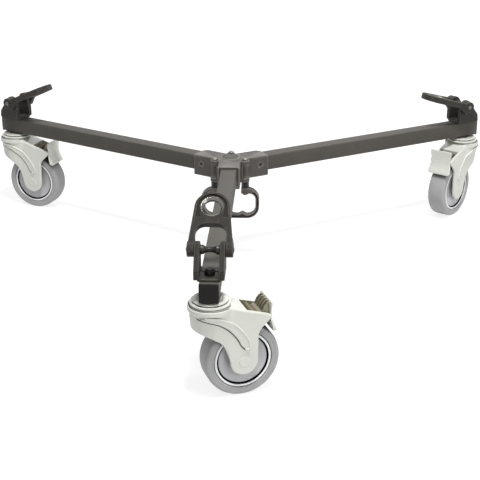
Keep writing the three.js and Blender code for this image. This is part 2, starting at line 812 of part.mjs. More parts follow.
function pedal() {
  const place = ([x, z]) => [pedal_x + x * pedal_h, wheel_d + pedal_z_rise + z * pedal_h];
  const plate = across(pedal_plate_shares.map(place), -pedal_half, pedal_half);
  const barrel_half = fork_in - side_gap;
  const barrel = cross_bar(pedal_barrel_r, pedal_x, wheel_d + pedal_z_rise, -barrel_half, barrel_half);
  const rib_run = barrel_half - pedal_rib_t;
  const ribs = [];
  for (let i = 0; i < pedal_ribs; i++) {
    const y = -rib_run + 2 * rib_run * i / (pedal_ribs - 1);
    ribs.push(across(pedal_rib_shares.map(place), y - pedal_rib_t / 2, y + pedal_rib_t / 2));
  }
  return cut(joined(plate, barrel, ...ribs),
    cross_bar(pedal_pin_r + fit_gap, pedal_x, wheel_d + pedal_z_rise, -fork_half, fork_half, sides_small));
}

function caster(arm) {
  const group = new THREE.Group();
  group.position.set(swivel_x, 0, floor_z);
  group.rotation.z = rad(arm.trail_deg - arm.azimuth_deg);
  const bar = (r, x, z, reach) => cross_bar(r, x, z, -reach, reach, sides_medium);
  const nut_low = caster_h + tube_size + fit_gap + floor_t + fit_gap;
  group.add(piece(`${arm.name}_stem`, stem(), dark_steel));
  group.add(piece(`${arm.name}_stem_nut`,
    hex_nut(stem_nut_r, stem_r + fit_gap, nut_low, nut_low + stem_nut_h), dark_steel));
  group.add(piece(`${arm.name}_collar`, collar(), pale_plastic));
  group.add(piece(`${arm.name}_housing`, housing(), pale_plastic));
  group.add(piece(`${arm.name}_axle`, bar(axle_r, trail, wheel_r, fork_half - axle_set), bright_steel));
  group.add(piece(`${arm.name}_wheel_core`, wheel_core(), wheel_plastic));
  group.add(piece(`${arm.name}_tyre`, tyre(), grey_rubber));
  group.add(piece(`${arm.name}_pedal`, pedal(), pale_plastic));
  group.add(piece(`${arm.name}_pedal_pin`,
    bar(pedal_pin_r, pedal_x, wheel_d + pedal_z_rise, fork_half - axle_set), bright_steel));
  group.add(piece(`${arm.name}_brake_cam`,
    bar(cam_r, cam_x, wheel_d + cam_z_rise, fork_in - fit_gap), dark_steel));
  return group;
}

function foot_catch(arm) {
  const group = new THREE.Group();
  const pivot_x = arm_reach - pivot_x_inset;
  const pivot_z = tube_top_z + pivot_rise;
  group.add(piece(`${arm.name}_foot_bracket`, foot_bracket(), catch_paint));
  for (const [name, geometry, material] of [
    ['catch_pin', catch_pin().rotateX(-Math.PI / 2), bright_steel],
    ['catch_roller', roller().rotateX(-Math.PI / 2), dark_steel],
  ]) {
    const mesh = piece(`${arm.name}_${name}`, geometry, material);
    mesh.position.set(pivot_x, 0, pivot_z);
    group.add(mesh);
  }
  const lever_mesh = piece(`${arm.name}_lever`, lever(), catch_paint);
  lever_mesh.position.set(pivot_x, 0, pivot_z);
  lever_mesh.rotation.set(0, -rad(arm.lever_deg), Math.PI, 'ZYX');
  group.add(lever_mesh);
  return group;
}

function arm_pieces(arm) {
  const group = new THREE.Group();
  group.rotation.z = rad(arm.azimuth_deg);
  const start = arm.hinge_side === 0 ? hub_front_reach - socket_depth + fit_gap : block_socket_start;
  group.add(piece(`${arm.name}_tube`, tube(start, arm.hinge_side), tube_paint));
  group.add(piece(`${arm.name}_tube_cap`, tube_cap(), black_plastic));
  group.add(foot_catch(arm));
  group.add(caster(arm));
  if (arm.hinge_side !== 0) {
    group.add(piece(`${arm.name}_arm_block`, arm_block(arm.hinge_side), casting_paint));
    const screw_mesh = piece(`${arm.name}_block_screw`, block_screw(), bright_steel);
    screw_mesh.rotation.x = -arm.hinge_side * Math.PI / 2;
    screw_mesh.position.set(block_screw_x, arm.hinge_side * (half + block_near_wall - block_screw_head_h),
      tube_mid_z);
    group.add(screw_mesh);
  }
  return group;
}

const dolly = new THREE.Group();
dolly.add(hub_pieces());
for (const arm of arms) dolly.add(arm_pieces(arm));

export default dolly;
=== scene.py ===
# Looks of the folding tripod dolly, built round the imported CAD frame.
# Sizes are in millimetres until a piece is placed; Blender's own units are metres.
# Arm places: X runs outwards along the arm. Caster places: X runs from the swivel axis to the wheel,
# Z from the floor up. Lever places: X runs from the pivot to the tip, Z is its upper side.
import math

import bmesh
import bpy
import numpy as np
from mathutils import Matrix, Vector

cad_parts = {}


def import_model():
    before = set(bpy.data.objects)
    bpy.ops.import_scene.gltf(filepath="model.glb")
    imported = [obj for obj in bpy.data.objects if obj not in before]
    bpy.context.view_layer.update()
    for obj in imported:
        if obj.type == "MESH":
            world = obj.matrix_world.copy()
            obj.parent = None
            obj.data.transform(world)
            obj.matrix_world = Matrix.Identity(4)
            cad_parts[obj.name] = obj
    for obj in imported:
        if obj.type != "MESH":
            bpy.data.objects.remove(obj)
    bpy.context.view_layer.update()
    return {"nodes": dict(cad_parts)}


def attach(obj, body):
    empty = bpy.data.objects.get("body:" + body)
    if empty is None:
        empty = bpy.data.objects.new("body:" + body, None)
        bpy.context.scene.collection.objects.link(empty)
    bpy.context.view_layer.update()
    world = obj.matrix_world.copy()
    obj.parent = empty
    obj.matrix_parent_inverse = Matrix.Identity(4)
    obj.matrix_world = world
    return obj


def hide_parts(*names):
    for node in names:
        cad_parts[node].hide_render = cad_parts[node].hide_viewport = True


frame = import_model()

MM = 0.001
TINY = 1e-9

# Sizes that the CAD model shares
TUBE = 25
TUBE_WALL = 1.8
HALF = TUBE / 2
TUBE_TOP = -4
TUBE_LOW = TUBE_TOP - TUBE
TUBE_MID = TUBE_TOP - HALF
CAST_LOW = -37
CAST_TOP = -1
ARM_REACH = 492
SWIVEL_X = 469
FLOOR_Z = -169
TRAIL = 38
WHEEL_R = 50
FIT = 0.3
HINGE_X = 24.5
HINGE_Y = -14
PIVOT_X = 459
PIVOT_Z = 28.5
FORK_HALF = 20.8
FORK_IN = 16.5
CROWN_TOP = 129.7
LEG_IN = 19.7
LEG_OUT = 28.7
EAR_IN = 12.3
EAR_OUT = 19.3
PIN_R = 3
PEDAL_X = 62.015
PEDAL_Z = 108
PEDAL_H = 41

# Each arm: where it points, where its caster trails and how far its lever is open, in degrees
ARMS = {
    "front": dict(azimuth=-90, trail=22.2, lever=36.5, side=0, body="frame"),
    "left": dict(azimuth=150, trail=-18.3, lever=24.5, side=1, body="left_arm"),
    "right": dict(azimuth=30, trail=234.4, lever=16.8, side=-1, body="right_arm"),
}

# Roundings of edges and inner corners
HAIR = 0.2
CRISP = 0.3
NEAT = 0.4
SOFT = 0.5
MILD = 0.6
ROUND = 0.8
FULL = 1.0
BOLD = 1.2
WIDE = 1.5

# Rounded corners: how flat a corner stays as it is, and the most of a side that one takes
FLAT_CORNER_DEG = 172
CORNER_SIDE_SHARE = 0.48
ARC_STEPS = 12
CORNER_STEPS = 4

# Meshing of a distance field. Shares are of its grid step.
MARGIN_LOW_SHARE = 2.5
MARGIN_HIGH_SHARE = 3
NORMAL_SHARE = 0.35
SLOPE_SHARE = 0.05
MOVE_SHARE = 0.3
LEAST_SLOPE = 0.25
SETTLE_ROUNDS = 3

# Cleaning of a thinned mesh, and the angle from which an edge is sharp
CLEAN_ROUNDS = 3
CLEAN_DISTANCE = 0.03
SHARP_DEG = 40

# Grid steps, and the share of faces that thinning keeps
CAST_STEP = 0.8
SHELL_STEP = 0.7
FINE_STEP = 0.6
NUT_STEP = 0.4
BOLT_STEP = 0.3
SMALL_BOLT_STEP = 0.25
KEEP_SHARE = 0.5
SHELL_KEEP_SHARE = 0.6

# Sides of turned pieces
SIDES_SMALL = 32
SIDES_MEDIUM = 48
SIDES_LARGE = 96
SIDES_FINE = 128


# Places: 4x4 matrices in millimetres, and their scaling to metres
def turned(angle):
    return Matrix.Rotation(math.radians(angle), 4, "Z")


def moved(x, y, z):
    return Matrix.Translation((x, y, z))


def metres(matrix):
    return Matrix.Scale(MM, 4) @ matrix


def arm_place(arm):
    return turned(arm["azimuth"])


def caster_place(arm):
    return arm_place(arm) @ moved(SWIVEL_X, 0, FLOOR_Z) @ turned(arm["trail"] - arm["azimuth"])


def pivot_place(arm):
    return arm_place(arm) @ moved(PIVOT_X, 0, PIVOT_Z)


def lever_place(arm):
    tilt = Matrix.Rotation(math.radians(-arm["lever"]), 4, "Y")
    return pivot_place(arm) @ turned(180) @ tilt


# Outlines
def arc(cx, cy, r, start, end, steps=ARC_STEPS):
    angles = np.radians(np.linspace(start, end, steps + 1))
    return [(cx + r * math.cos(a), cy + r * math.sin(a)) for a in angles]


def round_box(half, low, high, r, steps=ARC_STEPS):
    """Outline of a box with round corners."""
    x, low, high = half - r, low + r, high - r
    corners = [(x, high, 0), (-x, high, 90), (-x, low, 180), (x, low, 270)]
    return [p for cx, cy, a in corners for p in arc(cx, cy, r, a, a + 90, steps)]


def rounded(points, radius):
    """Closed outline with its corners rounded."""
    made = []
    count = len(points)
    for i, point in enumerate(points):
        p, a, b = (np.array(q, float) for q in (point, points[i - 1], points[(i + 1) % count]))
        to_a, to_b = a - p, b - p
        la, lb = np.linalg.norm(to_a), np.linalg.norm(to_b)
        bend = math.acos(float(np.clip(to_a @ to_b / (la * lb), -1, 1)))
        if radius <= 0 or bend > math.radians(FLAT_CORNER_DEG):
            made.append(tuple(p))
            continue
        run = min(radius / math.tan(bend / 2), la * CORNER_SIDE_SHARE, lb * CORNER_SIDE_SHARE)
        start, end = p + to_a / la * run, p + to_b / lb * run
        for t in np.linspace(0, 1, CORNER_STEPS + 1):
            made.append(tuple((1 - t) ** 2 * start + 2 * t * (1 - t) * p + t * t * end))
    return made


def smooth(points, steps):
    """Points of a Catmull-Rom curve through the given ones."""
    p = np.array(points, float)
    p = np.vstack([2 * p[0] - p[1], p, 2 * p[-1] - p[-2]])
    made = []
    for i in range(1, len(p) - 2):
        for t in np.linspace(0, 1, steps, endpoint=False):
            made.append(0.5 * (2 * p[i] + (p[i + 1] - p[i - 1]) * t
                               + (2 * p[i - 1] - 5 * p[i] + 4 * p[i + 1] - p[i + 2]) * t ** 2
                               + (3 * p[i] - p[i - 1] - 3 * p[i + 1] + p[i + 2]) * t ** 3))
    made.append(p[-2])
    return [tuple(q) for q in made]


def both_sides(half):
    """Profile of (radius, height) points with its mirror image after it."""
    return half + [(r, -h) for r, h in half[::-1]]


# Distances, below zero inside a shape
def side_square(one, two, a, b):
    """Squared distance in a plane to one straight line."""
    ex, ey = two[0] - one[0], two[1] - one[1]
    wx, wy = a - one[0], b - one[1]
    t = np.clip((wx * ex + wy * ey) / (ex * ex + ey * ey), 0, 1)
    return (wx - ex * t) ** 2 + (wy - ey * t) ** 2


def to_outline(points, a, b):
    """Distance in a plane to a closed outline."""
    best, odd = np.inf, False
    for (x0, y0), (x1, y1) in zip(points, points[1:] + points[:1]):
        ex, ey = x1 - x0, y1 - y0
        if ex * ex + ey * ey < TINY:
            continue
        best = np.minimum(best, side_square((x0, y0), (x1, y1), a, b))
        if abs(ey) > TINY:
            odd = odd ^ (((y0 > b) != (y1 > b)) & (a - x0 < ex * (b - y0) / ey))
    return np.where(odd, -1, 1) * np.sqrt(best)


def to_line(points, a, b):
    """Distance in a plane to an open line."""
    best = np.inf
    for one, two in zip(points[:-1], points[1:]):
        best = np.minimum(best, side_square(one, two, a, b))
    return np.sqrt(best)


def across_flats(x, y, turn=0):
    """Distance across a hexagon's flats."""
    wedge = math.pi / 3
    angle = np.arctan2(y, x) + turn
    return np.hypot(x, y) * np.cos(angle - np.round(angle / wedge) * wedge)


def between(c, low, high):
    return np.abs(c - (low + high) / 2) - (high - low) / 2


def slab(flat, along, edge=0):
    """Shape raised from a flat distance, with its two rims rounded by edge."""
    flat, along = flat + edge, along + edge
    inner = np.minimum(np.maximum(flat, along), 0)
    return inner + np.hypot(np.maximum(flat, 0), np.maximum(along, 0)) - edge


def block(x, y, z, low, high, edge=0):
    """Box with rounded edges."""
    d = [between(c, l, h) + edge for c, l, h in zip((x, y, z), low, high)]
    outer = np.sqrt(sum(np.maximum(q, 0) ** 2 for q in d))
    return outer + np.minimum(np.maximum(np.maximum(d[0], d[1]), d[2]), 0) - edge


def union(a, b, blend=0):
    if blend <= 0:
        return np.minimum(a, b)
    share = np.clip(0.5 + 0.5 * (b - a) / blend, 0, 1)
    return b + (a - b) * share - blend * share * (1 - share)


def common(a, b, blend=0):
    return -union(-a, -b, blend)


def less(a, b, blend=0):
    """Shape a with shape b cut out."""
    return -union(-a, b, blend)


# Meshes
def mesh_from(name, points, faces):
    mesh = bpy.data.meshes.new(name)
    mesh.from_pydata([tuple(p) for p in points], [], [tuple(f) for f in faces])
    mesh.shade_smooth()
    return mesh


def linked(name, data):
    """New object in the scene."""
    obj = bpy.data.objects.new(name, data)
    bpy.context.scene.collection.objects.link(obj)
    return obj


def skin(name, field, box, step, keep=KEEP_SHARE):
    """Mesh of the surface where a field is zero, with a share of its faces kept."""
    axes = [np.arange(low - MARGIN_LOW_SHARE * step, high + MARGIN_HIGH_SHARE * step, step)
            for low, high in zip(*box)]
    x, y, z = np.ix_(*axes)
    values = np.broadcast_to(field(x, y, z), [len(a) for a in axes]) + 0.0
    cells = np.array(values.shape) - 1
    sums = np.zeros((cells.prod(), 3))
    hits = np.zeros(cells.prod())
    quads = []
    for axis in range(3):
        quads += crossed(values, cells, axis, sums, hits)
    used = np.flatnonzero(hits)
    number = np.zeros(cells.prod(), int)
    number[used] = np.arange(len(used))
    origin = np.array([a[0] for a in axes])
    points = settled(field, sums[used] / hits[used, None] * step + origin, step)
    mesh = mesh_from(name, points, number[np.vstack(quads)])
    if keep < 1:
        mesh = thinned(mesh, keep)
    set_normals(mesh, field, step * NORMAL_SHARE)
    return mesh


def crossed(values, cells, axis, sums, hits):
    """Faces that cross the grid along an axis. Each crossing is added to its four cells."""
    b, c = (axis + 1) % 3, (axis + 2) % 3
    near = [slice(None)] * 3
    far = [slice(None)] * 3
    near[axis], far[axis] = slice(0, -1), slice(1, None)
    v0, v1 = values[tuple(near)], values[tuple(far)]
    at = np.argwhere((v0 < 0) != (v1 < 0))
    f0, f1 = v0[tuple(at.T)], v1[tuple(at.T)]
    points = at.astype(float)
    points[:, axis] += f0 / (f0 - f1)
    ring = []
    for db, dc in ((0, 0), (1, 0), (1, 1), (0, 1)):
        cell = at.copy()
        cell[:, b] -= db
        cell[:, c] -= dc
        index = np.ravel_multi_index(cell.T, cells)
        for k in range(3):
            sums[:, k] += np.bincount(index, points[:, k], cells.prod())
        hits += np.bincount(index, minlength=cells.prod())
        ring.append(index)
    ring = np.array(ring).T
    out = f0 < 0
    return [ring[out], ring[~out][:, ::-1]]


def slope_of(field, points, e):
    """How fast a field grows along each axis, at each point."""
    x, y, z = points.T
    return np.stack([field(x + e, y, z) - field(x - e, y, z),
                     field(x, y + e, z) - field(x, y - e, z),
                     field(x, y, z + e) - field(x, y, z - e)], 1) / (2 * e)


def settled(field, points, step):
    """The points, moved onto the surface of the field."""
    for _ in range(SETTLE_ROUNDS):
        value = field(*points.T)
        slope = slope_of(field, points, step * SLOPE_SHARE)
        size = np.maximum((slope ** 2).sum(1), LEAST_SLOPE)
        shift = -slope * (value / size)[:, None]
        length = np.maximum(np.linalg.norm(shift, axis=1), TINY)
        points = points + shift * np.minimum(1, step * MOVE_SHARE / length)[:, None]
    return points


def set_normals(mesh, field, e):
    """Shading normals taken from the field."""
    corners = np.empty(len(mesh.vertices) * 3)
    mesh.vertices.foreach_get("co", corners)
    normals = slope_of(field, corners.reshape(-1, 3), e)
    normals /= np.maximum(np.linalg.norm(normals, axis=1), TINY)[:, None]
    mesh.normals_split_custom_set_from_vertices([tuple(n) for n in normals])


def thinned(mesh, keep):
    """The mesh with fewer faces where it is flat, and none without area."""
    obj = linked(mesh.name, mesh)
    modifier = obj.modifiers.new("thin", "DECIMATE")
    modifier.ratio = keep
    graph = bpy.context.evaluated_depsgraph_get()
    made = bpy.data.meshes.new_from_object(obj.evaluated_get(graph))
    bpy.data.objects.remove(obj)
    bm = bmesh.new()
    bm.from_mesh(made)
    for _ in range(CLEAN_ROUNDS):
        bmesh.ops.dissolve_degenerate(bm, edges=bm.edges, dist=CLEAN_DISTANCE)
        bmesh.ops.triangulate(bm, faces=[face for face in bm.faces if len(face.verts) > 3])
    bm.to_mesh(made)
    bm.free()
    made.shade_smooth()
    return made


def outward(mesh):
    """Turns all faces outwards and marks sharp edges."""
    bm = bmesh.new()
    bm.from_mesh(mesh)
    bmesh.ops.recalc_face_normals(bm, faces=bm.faces)
    bm.to_mesh(mesh)
    bm.free()
    mesh.set_sharp_from_angle(angle=math.radians(SHARP_DEG))


def bands(rings, closed):
    """Faces between each ring of points and the next, and from last to first if closed."""
    faces = []
    for one, two in zip(rings, rings[1:] + rings[:1] if closed else rings[1:]):
        for i in range(len(one)):
            j = (i + 1) % len(one)
            face = list(dict.fromkeys([one[i], one[j], two[j], two[i]]))
            if len(face) > 2:
                faces.append(face)
    return faces


def lathe(name, profile, sides, across=False):
    """Turned mesh from (radius, height) points. It closes on the axis, or on itself."""
    angles = np.linspace(0, 2 * math.pi, sides, endpoint=False)
    points, rings = [], []
    for r, h in profile:
        start = len(points)
        if r < TINY:
            points.append((0, 0, h))
            rings.append([start] * sides)
        else:
            points += [(r * math.cos(a), r * math.sin(a), h) for a in angles]
            rings.append(list(range(start, start + sides)))
    if across:
        points = [(x, -z, y) for x, y, z in points]
    mesh = mesh_from(name, points, bands(rings, profile[0][0] > TINY))
    outward(mesh)
    return mesh


def run_of(name, loops, closed):
    """Mesh through loops of points, closed on itself or with a face at each end."""
    count = len(loops[0])
    rings = [list(range(k * count, (k + 1) * count)) for k in range(len(loops))]
    faces = bands(rings, closed)
    if not closed:
        faces += [rings[0], rings[-1]]
    mesh = mesh_from(name, [p for loop in loops for p in loop], faces)
    outward(mesh)
    return mesh


def toned(mesh, slots, pick=lambda x, y, z: 0):
    """Gives each face a material, picked by where its centre lies."""
    for slot in slots:
        mesh.materials.append(MATERIALS[slot])
    for face in mesh.polygons:
        face.material_index = pick(*face.center)
    return mesh


def mirrored(mesh, name):
    """A copy mirrored across Y."""
    made = mesh.copy()
    made.name = name
    made.transform(Matrix.Scale(-1, 4, (0, 1, 0)))
    made.flip_normals()
    return made


def stand_in(prefix, rows):
    """Pieces for CAD nodes. A row has name, mesh, place, body, material slot and node."""
    for name, mesh, matrix, body, slot, cad_node in rows:
        obj = linked(prefix + name, mesh)
        obj.matrix_world = metres(matrix)
        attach(obj, body)
        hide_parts(prefix + cad_node)
        if not mesh.materials:
            mesh.materials.append(MATERIALS[slot])


# Shader nodes
def feed(tree, socket, value):
    """Links an output to a socket, or sets the socket to a plain value."""
    if isinstance(value, bpy.types.NodeSocket):
        tree.links.new(value, socket)
    else:
        socket.default_value = value


def node(tree, kind, *first, **values):
    """New node with its first inputs in order, and settings and other inputs by name."""
    made = tree.nodes.new(kind)
    for key, value in values.items():
        if key in made.inputs:
            feed(tree, made.inputs[key], value)
        else:
            setattr(made, key, value)
    for socket, value in zip(made.inputs, first):
        feed(tree, socket, value)
    return made


def ranged(tree, value, low, high, to_low=0.0, to_high=1.0):
    """A value mapped from one range to another, held at both ends."""
    ends = {"From Min": low, "From Max": high, "To Min": to_low, "To Max": to_high}
    return node(tree, "ShaderNodeMapRange", value, **ends).outputs["Result"]


def worked(tree, operation, one, two):
    """Result of a Math node on two values."""
    return node(tree, "ShaderNodeMath", one, two, operation=operation).outputs[0]


# Sockets of a Mix node for each kind of value: factor, first, second, result
MIX_SOCKETS = {"FLOAT": (0, 2, 3, 0), "RGBA": (0, 6, 7, 2)}


def mixed(tree, kind, share, one, two):
    """Mix of two values or colours. The share is that of the second."""
    factor, first, second, result = MIX_SOCKETS[kind]
    made = node(tree, "ShaderNodeMix", data_type=kind)
    feed(tree, made.inputs[factor], share)
    feed(tree, made.inputs[first], one)
    feed(tree, made.inputs[second], two)
    return made.outputs[result]


def shaded(name):
    """New material with its node tree and its main shader."""
    material = bpy.data.materials.new(name)
    material.use_nodes = True
    return material, material.node_tree, material.node_tree.nodes["Principled BSDF"]


# Materials. Noise scales are in cells to a metre.
BLOTCH_SCALE = 25
BLOTCH_NOISE = {"Detail": 4.0, "Roughness": 0.6}
GRAIN_NOISE = {"Detail": 2.0, "Roughness": 0.5}
GRAIN_SHARE = 0.45
TONE_RANGE = (0.3, 0.7)
WEAR_AND_HIGHLIGHT_RANGE = (0.51, 0.58)
BUMP_DISTANCE = 0.1
PAINTED_SHADE_SAMPLES = 6

# Where the painted shade of the housing on a wheel starts and is full, in shares of the wheel's radius
SHADE_SHARES = (0.7, 1.3)


def linear(color):
    """Colour as the shader takes it, from a colour on screen, 0 to 255."""
    return tuple(c / 255 / 12.92 if c <= 10 else ((c / 255 + 0.055) / 1.055) ** 2.4 for c in color)


def own_painted_shade(depth, reach=3):
    """Painted shade inside a piece's own grooves."""
    return dict(own=True, reach=reach, full=0.35, start=0.8, depth=depth)


def shared_painted_shade(depth):
    """Painted shade on a wheel where its housing shades it."""
    return dict(own=False, reach=18, full=0.5, start=0.9, depth=depth)


def darkened(tree, color, painted_shade):
    """Painted shade: darker colour in narrow gaps and grooves, and on a wheel under its housing."""
    shade = node(tree, "ShaderNodeAmbientOcclusion", samples=PAINTED_SHADE_SAMPLES, only_local=painted_shade["own"],
                 Distance=painted_shade["reach"] * MM)
    depth = ranged(tree, shade.outputs["AO"], painted_shade["full"], painted_shade["start"], painted_shade["depth"], 0.0)
    if not painted_shade["own"]:
        place = node(tree, "ShaderNodeNewGeometry").outputs["Position"]
        height = node(tree, "ShaderNodeSeparateXYZ", place).outputs["Z"]
        low, high = ((FLOOR_Z + WHEEL_R * share) * MM for share in SHADE_SHARES)
        depth = worked(tree, "MULTIPLY", depth, ranged(tree, height, low, high))
    left = worked(tree, "SUBTRACT", 1.0, depth)
    return node(tree, "ShaderNodeVectorMath", color, operation="SCALE", Scale=left).outputs[0]


def mottled(tree, color, tone, share):
    """Colour that varies by a share of itself, darker and paler."""
    ramp = node(tree, "ShaderNodeValToRGB", Fac=share)
    for element, position, side in zip(ramp.color_ramp.elements, TONE_RANGE, (-1, 1)):
        element.position = position
        element.color = (*[min(1, c * (1 + side * tone)) for c in color], 1)
    return ramp.outputs["Color"]


def worn_and_highlit(tree, color, edge_color, strength):
    """Paler colour along outer edges: partly wear, partly painted highlight."""
    edge = node(tree, "ShaderNodeNewGeometry").outputs["Pointiness"]
    share = ranged(tree, edge, *WEAR_AND_HIGHLIGHT_RANGE, 0.0, strength)
    return mixed(tree, "RGBA", share, color, (*linear(edge_color), 1))


def finish_of(name, color, tone, rough, spread=0.05, metal=0.0, grain=1500, bump=0.03,
              specular=0.5, wear_and_highlight=None, painted_shade=None):
    """Surface with broad tone changes, a fine grain, paler edges that are partly wear and partly painted
    highlight, and painted shade in gaps.
    """
    material, tree, shader = shaded(name)
    shader.inputs["Metallic"].default_value = metal
    shader.inputs["Specular IOR Level"].default_value = specular
    place = node(tree, "ShaderNodeTexCoord").outputs["Object"]
    broad = node(tree, "ShaderNodeTexNoise", Vector=place, Scale=BLOTCH_SCALE * MM, **BLOTCH_NOISE)
    fine = node(tree, "ShaderNodeTexNoise", Vector=place, Scale=grain * MM, **GRAIN_NOISE)
    broad, fine = broad.outputs["Fac"], fine.outputs["Fac"]
    last = mottled(tree, linear(color), tone, mixed(tree, "FLOAT", GRAIN_SHARE, broad, fine))
    last = worn_and_highlit(tree, last, *wear_and_highlight) if wear_and_highlight else last
    # Painted shade in gaps and grooves.
    last = darkened(tree, last, painted_shade) if painted_shade else last
    feed(tree, shader.inputs["Base Color"], last)
    feed(tree, shader.inputs["Roughness"], ranged(tree, broad, 0.0, 1.0, rough - spread, rough + spread))
    uneven = node(tree, "ShaderNodeBump", Strength=bump, Distance=BUMP_DISTANCE, Height=fine)
    feed(tree, shader.inputs["Normal"], uneven.outputs["Normal"])
    return material


# Colours are as on screen, 0 to 255. Wear and highlight is the edges' colour and how much of it shows: partly
# wear, partly painted highlight.
FINISHES = {
    "tube_paint": dict(color=(77, 74, 69), tone=0.12, rough=0.55, grain=1300, bump=0.14,
                       specular=0.14, wear_and_highlight=((120, 117, 111), 0.35)),
    "casting_paint": dict(color=(74, 69, 65), tone=0.22, rough=0.46, spread=0.07, grain=1100, bump=0.35,
                          specular=0.38, wear_and_highlight=((165, 160, 154), 0.7), painted_shade=own_painted_shade(0.85, 6)),
    "catch_paint": dict(color=(33, 29, 25), tone=0.2, rough=0.5, spread=0.07, grain=1000, bump=0.3,
                        specular=0.32, wear_and_highlight=((125, 120, 110), 0.55), painted_shade=own_painted_shade(0.5)),
    "black_plastic": dict(color=(18, 16, 15), tone=0.1, rough=0.6, bump=0.15, specular=0.22),
    "bright_steel": dict(color=(150, 148, 142), tone=0.1, rough=0.32, spread=0.08, metal=1.0, bump=0.08),
    "dark_steel": dict(color=(34, 33, 31), tone=0.1, rough=0.36, spread=0.06, metal=0.6, bump=0.08,
                       wear_and_highlight=((120, 118, 114), 0.15)),
    "dull_steel": dict(color=(112, 109, 103), tone=0.12, rough=0.38, spread=0.08, metal=1.0, bump=0.1,
                       painted_shade=own_painted_shade(0.5)),
    "spring_steel": dict(color=(120, 114, 92), tone=0.12, rough=0.4, spread=0.08, metal=0.5, bump=0.08,
                         painted_shade=own_painted_shade(0.7)),
    "polished": dict(color=(120, 118, 112), tone=0.08, rough=0.24, metal=1.0, grain=900),
    "pale_plastic": dict(color=(208, 209, 201), tone=0.02, rough=0.45, spread=0.04, painted_shade=own_painted_shade(0.75)),
    # Shaded plastic is painted shade, for the housing's inside and the pedal's ribs.
    "shaded_plastic": dict(color=(132, 127, 106), tone=0.06, rough=0.5, spread=0.04, painted_shade=own_painted_shade(0.8)),
    "wheel_plastic": dict(color=(182, 182, 184), tone=0.04, rough=0.42, painted_shade=shared_painted_shade(0.15)),
    # Near white: partly the rim's own colour, partly a painted highlight.
    "pale_highlit_rim": dict(color=(240, 241, 243), tone=0.02, rough=0.3),
    "grey_rubber": dict(color=(160, 160, 160), tone=0.05, rough=0.62, spread=0.06, grain=1300, bump=0.1,
                        painted_shade=shared_painted_shade(0.85)),
}
MATERIALS = {name: finish_of(name, **values) for name, values in FINISHES.items()}

# Hub: its lugs, the gaps for the hinge knuckles, and the front tube's socket with a step
LUG_R = 7.2
LUG_ROOM = 3
KNUCKLE = (-30, -8)
HUB_SIDE = 17.5
HUB_FRONT = -54
HUB_BACK = 30
HUB_EDGE = 1.4
HUB_HALF = [(HUB_SIDE, HUB_FRONT), (HUB_SIDE, HINGE_Y - LUG_R), (HINGE_X, HINGE_Y - LUG_R),
            (HINGE_X, -7.04), (HUB_SIDE, 5.09), (3.12, HUB_BACK)]
HUB_OUTLINE = HUB_HALF + [(-x, y) for x, y in HUB_HALF[::-1]]
HUB_BOX = ((-32, HUB_FRONT, CAST_LOW), (32, HUB_BACK, CAST_TOP))
SOCKET_HALF = HALF + 0.4
HUB_SOCKET = (-70, -14)
STEP_HALF = 15.2
STEP_RIM = 2.6
STEP_DEPTH = 1.0
CAP_SEAT_R = 16.5
CAP_SEAT_H = 2.8
CAP_DISC_R = 12.3
CAP_PROFILE = [(0, 0), (12.2, 0), (12.6, -0.35), (13.2, -0.35), (13.6, 0), (15.4, 0), (16, -0.5),
               (16, -2.4), (0, -2.4)]
HINGE_PIN_PROFILE = [(0, 2.2), (3.2, 2.1), (4.3, 1.6), (4.9, 0.8), (5, 0), (5, -0.7), (PIN_R, -0.7),
                     (PIN_R, -57), (5, -57), (4.9, -58.2), (4.2, -59.3), (3, -59.9), (0, -59.9)]


def tube_socket(along, across, z, start, end):
    low, high = (start, -SOCKET_HALF, TUBE_LOW - FIT), (end, SOCKET_HALF, TUBE_TOP + FIT)
    return block(along, across, z, low, high, WIDE)


def hub_field(x, y, z):
    side = np.abs(x)
    lug = np.hypot(side - HINGE_X, y - HINGE_Y)
    plan = union(to_outline(rounded(HUB_OUTLINE, WIDE), x, y), lug - LUG_R, WIDE)
    body = slab(plan, between(z, CAST_LOW, CAST_TOP), HUB_EDGE)
    fork = np.maximum(HINGE_X - side, np.abs(y - HINGE_Y) - (LUG_R + LUG_ROOM))
    pocket = union(lug - (LUG_R + FIT), fork)
    body = less(body, slab(pocket, between(z, KNUCKLE[0] - FIT, KNUCKLE[1] + FIT)), ROUND)
    body = less(body, tube_socket(y, x, z, *HUB_SOCKET), BOLD)
    step = np.maximum(side - STEP_HALF, between(z, TUBE_LOW - STEP_RIM, TUBE_TOP + STEP_RIM))
    body = less(body, np.maximum(step, y - (HUB_FRONT + STEP_DEPTH)), NEAT)
    return less(body, slab(np.hypot(x, y) - CAP_SEAT_R, -z - CAP_SEAT_H), SOFT)


# Screws with a hexagon socket, and nuts
HEAD_EDGE_SHARE = 0.3
SOCKET_DEPTH_SHARE = 0.35
SHANK_OVERLAP = 0.5
NUT_BEVEL = 1
REAR_BOLT = dict(r=2.8, depth=16, head_r=4.6, head_h=3, socket_r=2.2)
REAR_BOLT_Y = 22.5
BLOCK_BOLT = dict(r=2, depth=4.3, head_r=3.5, head_h=1.0, socket_r=2.0)
BLOCK_BOLT_RING_R = 2.6
STEM_HOLE_R = 5.2
HINGE_NUT = dict(r=6.3, bore=3.3, low=-47.4, high=-37.2)
STEM_NUT = dict(r=7.4, bore=STEM_HOLE_R, low=168.6, high=174.6)


